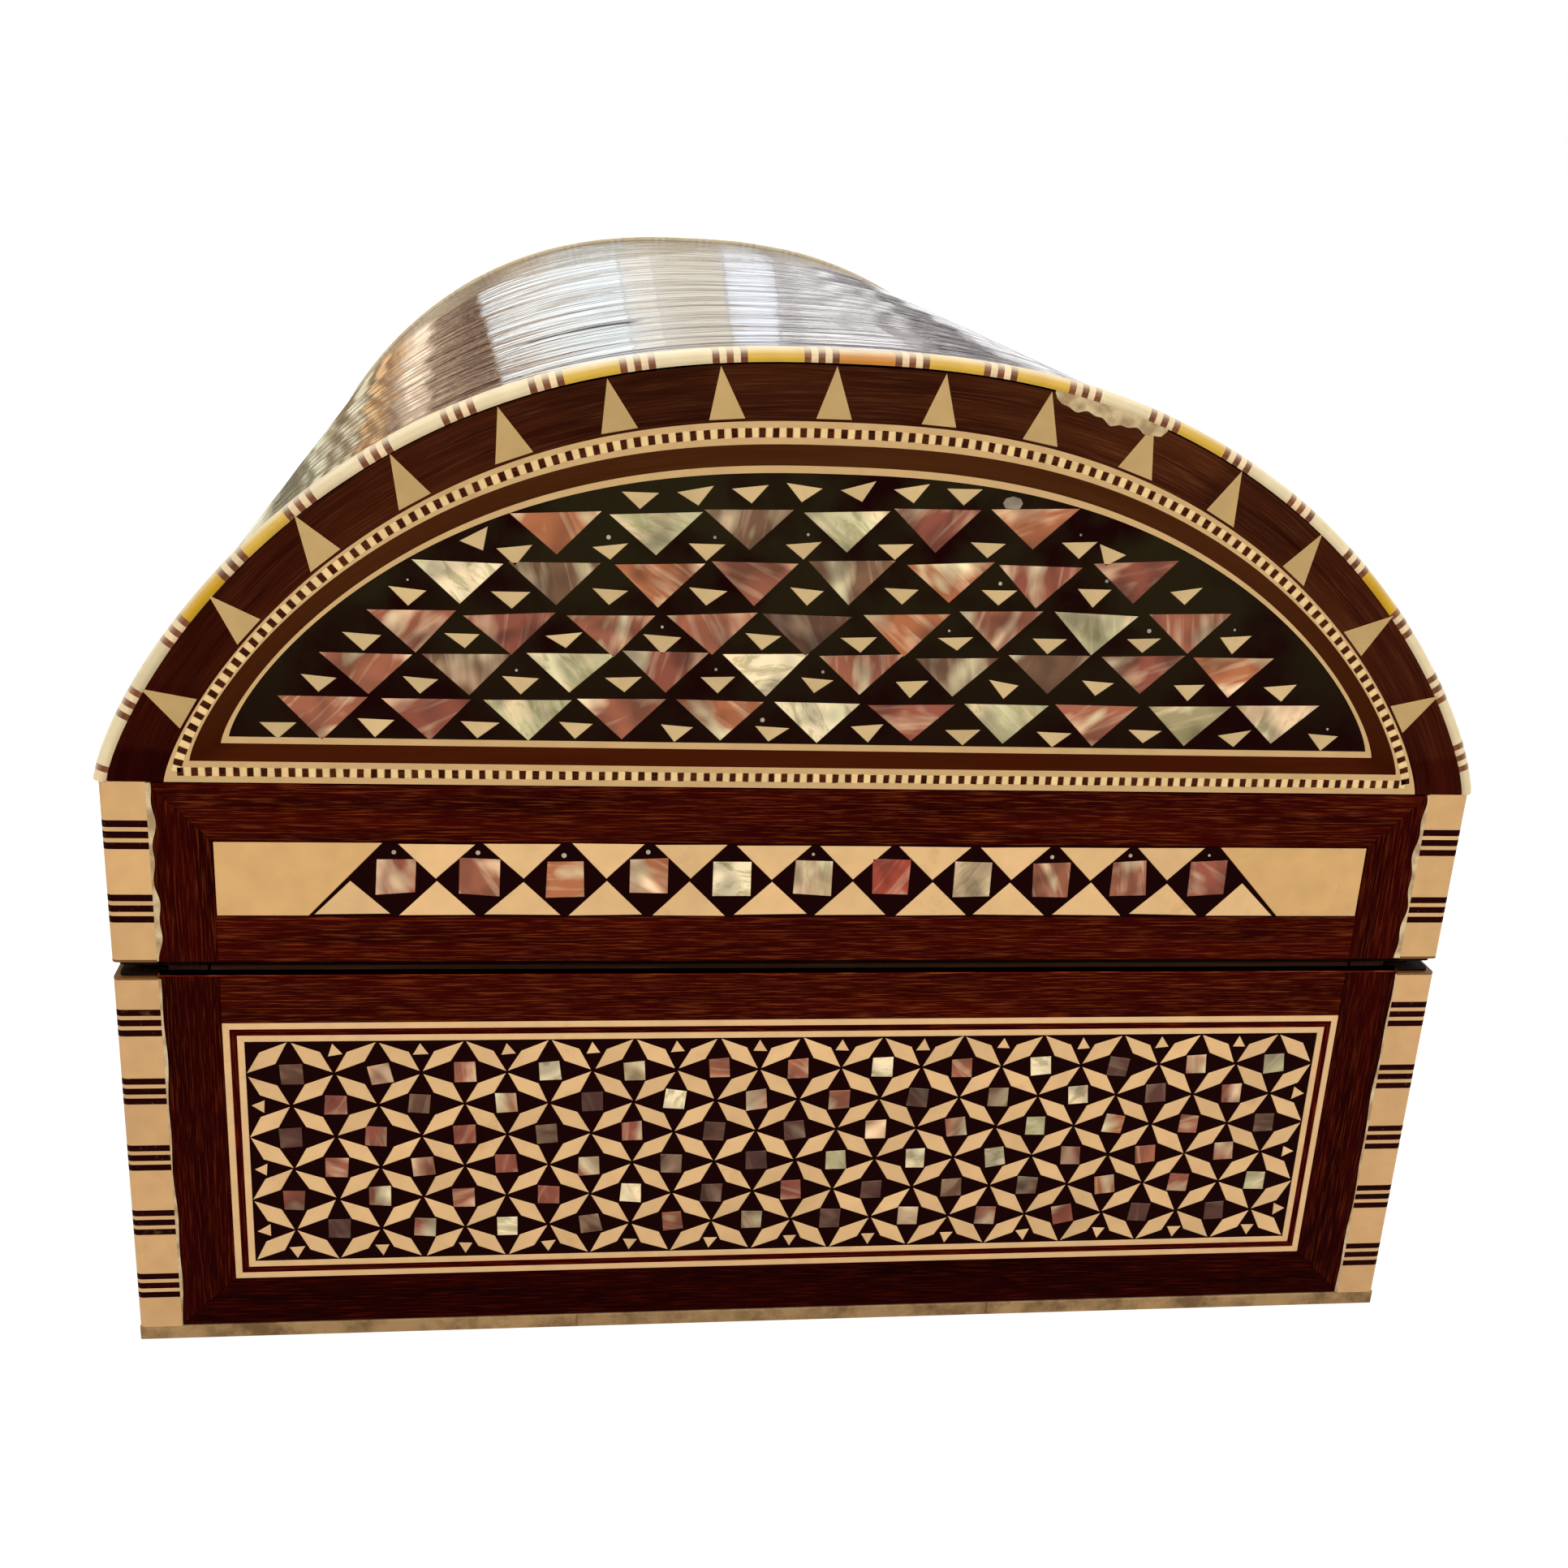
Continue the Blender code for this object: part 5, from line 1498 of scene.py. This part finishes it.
paper = blank("white studio paper")
lit = put(paper, "BsdfDiffuse", {"Color": socket_colour("#D9D9D9")})
own = put(paper, "Emission", {"Color": (1, 1, 1, 1), "Strength": 0.67})
bright = put(paper, "AddShader", {0: lit.outputs[0], 1: own.outputs[0]})
both = put(paper, "MixShader", {0: seen_directly(paper), 1: lit.outputs[0], 2: bright.outputs[0]})
put(paper, "OutputMaterial", {"Surface": both.outputs[0]})
FLOOR_HALF, FLOOR_DROP = 4, 0.00005      # metres; the drop keeps the floor clear of the box's underside
edges = rectangle(-FLOOR_HALF, FLOOR_HALF, -FLOOR_HALF, FLOOR_HALF)
studio_floor = sheet("studio_floor", [(x, y, -FLOOR_DROP) for x, y in edges], paper)
studio_floor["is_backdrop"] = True

world = bpy.data.worlds.new("studio")
world.use_nodes = True
world.node_tree.nodes.clear()
soft = put(world, "Background", {"Color": (1, 1, 1, 1), "Strength": 0.5})
white = put(world, "Background", {"Color": (1, 1, 1, 1), "Strength": 1.0})
sky = put(world, "MixShader", {0: seen_directly(world), 1: soft.outputs[0], 2: white.outputs[0]})
put(world, "OutputWorld", {"Surface": sky.outputs[0]})
bpy.context.scene.world = world

LAMPS = {"key": ((0.3, -0.75, 0.75), 0.6, 5.5), "fill": ((-0.6, -0.6, 0.5), 0.6, 2.0),
         "top": ((0.0, 0.25, 0.9), 0.5, 2.5)}
AIM = Vector((0, 0, 0.05))
for name, (place, size, power) in LAMPS.items():
    area_lamp(name, place, AIM - Vector(place), "#FFF4E6", power, size)

STRIP_DISTANCE, STRIP_TALL, STRIP_MIDDLE = 1.2, 2.8, 1.42
STRIPS = {"strip_cool": (-0.115, 0.012, "#DEF2F2", 0.8), "strip_cream": (0.015, 0.044, "#F4E2A8", 0.58),
          "strip_warm": (0.046, 0.107, "#D2B41E", 0.40), "strip_side": (0.11, 0.152, "#E4F0FF", 0.68)}
for name, (start, end, colour, radiance) in STRIPS.items():
    middle = ((start + end) / 2, STRIP_DISTANCE, STRIP_MIDDLE)
    power = radiance * np.pi * (end - start) * STRIP_TALL
    strip = area_lamp(name, middle, (0, -1, 0), colour, power, end - start, STRIP_TALL)
    strip.visible_camera = False

BEHIND, CARD_FOOT = STRIP_DISTANCE + 0.01, 0.001
CARDS = {"brown": (-0.28, -0.118, BEHIND, BEHIND, 1.0, "#3A2A20", "#FAE2C6", 2.4),
         "grey": (0.156, 0.7, BEHIND, BEHIND, 1.0, "#1C1820", "#FFFFFF", 1.7),
         "orange": (-0.36, -0.28, BEHIND, BEHIND, 1.0, "#6E3A16", "#FFCF90", 1.75),
         "green": (-0.9, -0.36, BEHIND, BEHIND, 1.0, "#55523A", "#FBF8D8", 1.5),
         "orange_lying": (-0.34, -0.1, 0.85, 1.19, CARD_FOOT, "#6E3A16", "#FFCF90", 1.75),
         "green_lying": (-0.34, -0.08, 0.3, 0.85, CARD_FOOT, "#55523A", "#FBF8D8", 1.5)}
for name, (start, end, near, far, high, dark, pale, strength) in CARDS.items():
    card = blank(f"mottled {name} card")
    mottle = noise(card, stretched(card, on_box(card), 90, 90, 30), 3.0)
    colour = mix(card, ramp(card, mottle, 0.44, 0.56), dark, pale)
    surfaced(card, {"Color": colour, "Strength": strength}, "Emission")
    corners = [(start, near, CARD_FOOT), (end, near, CARD_FOOT), (end, far, high), (start, far, high)]
    board = sheet(f"card_{name}", corners, card)
    board.visible_camera = board.visible_diffuse = board.visible_shadow = False
    board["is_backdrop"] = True
bpy.context.scene.view_settings.view_transform = "Standard"
print("lamps:", ", ".join([*LAMPS, *STRIPS]), "and", len(CARDS), "cards")

# %% [markdown]
# ## Sizes and the end
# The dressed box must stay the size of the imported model, so both boxes are written down for comparison.

# %% Finish
low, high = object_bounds()
print("dressed box", [round(v * 1000, 2) for v in (high - low)], "mm in", len(made), "pieces")
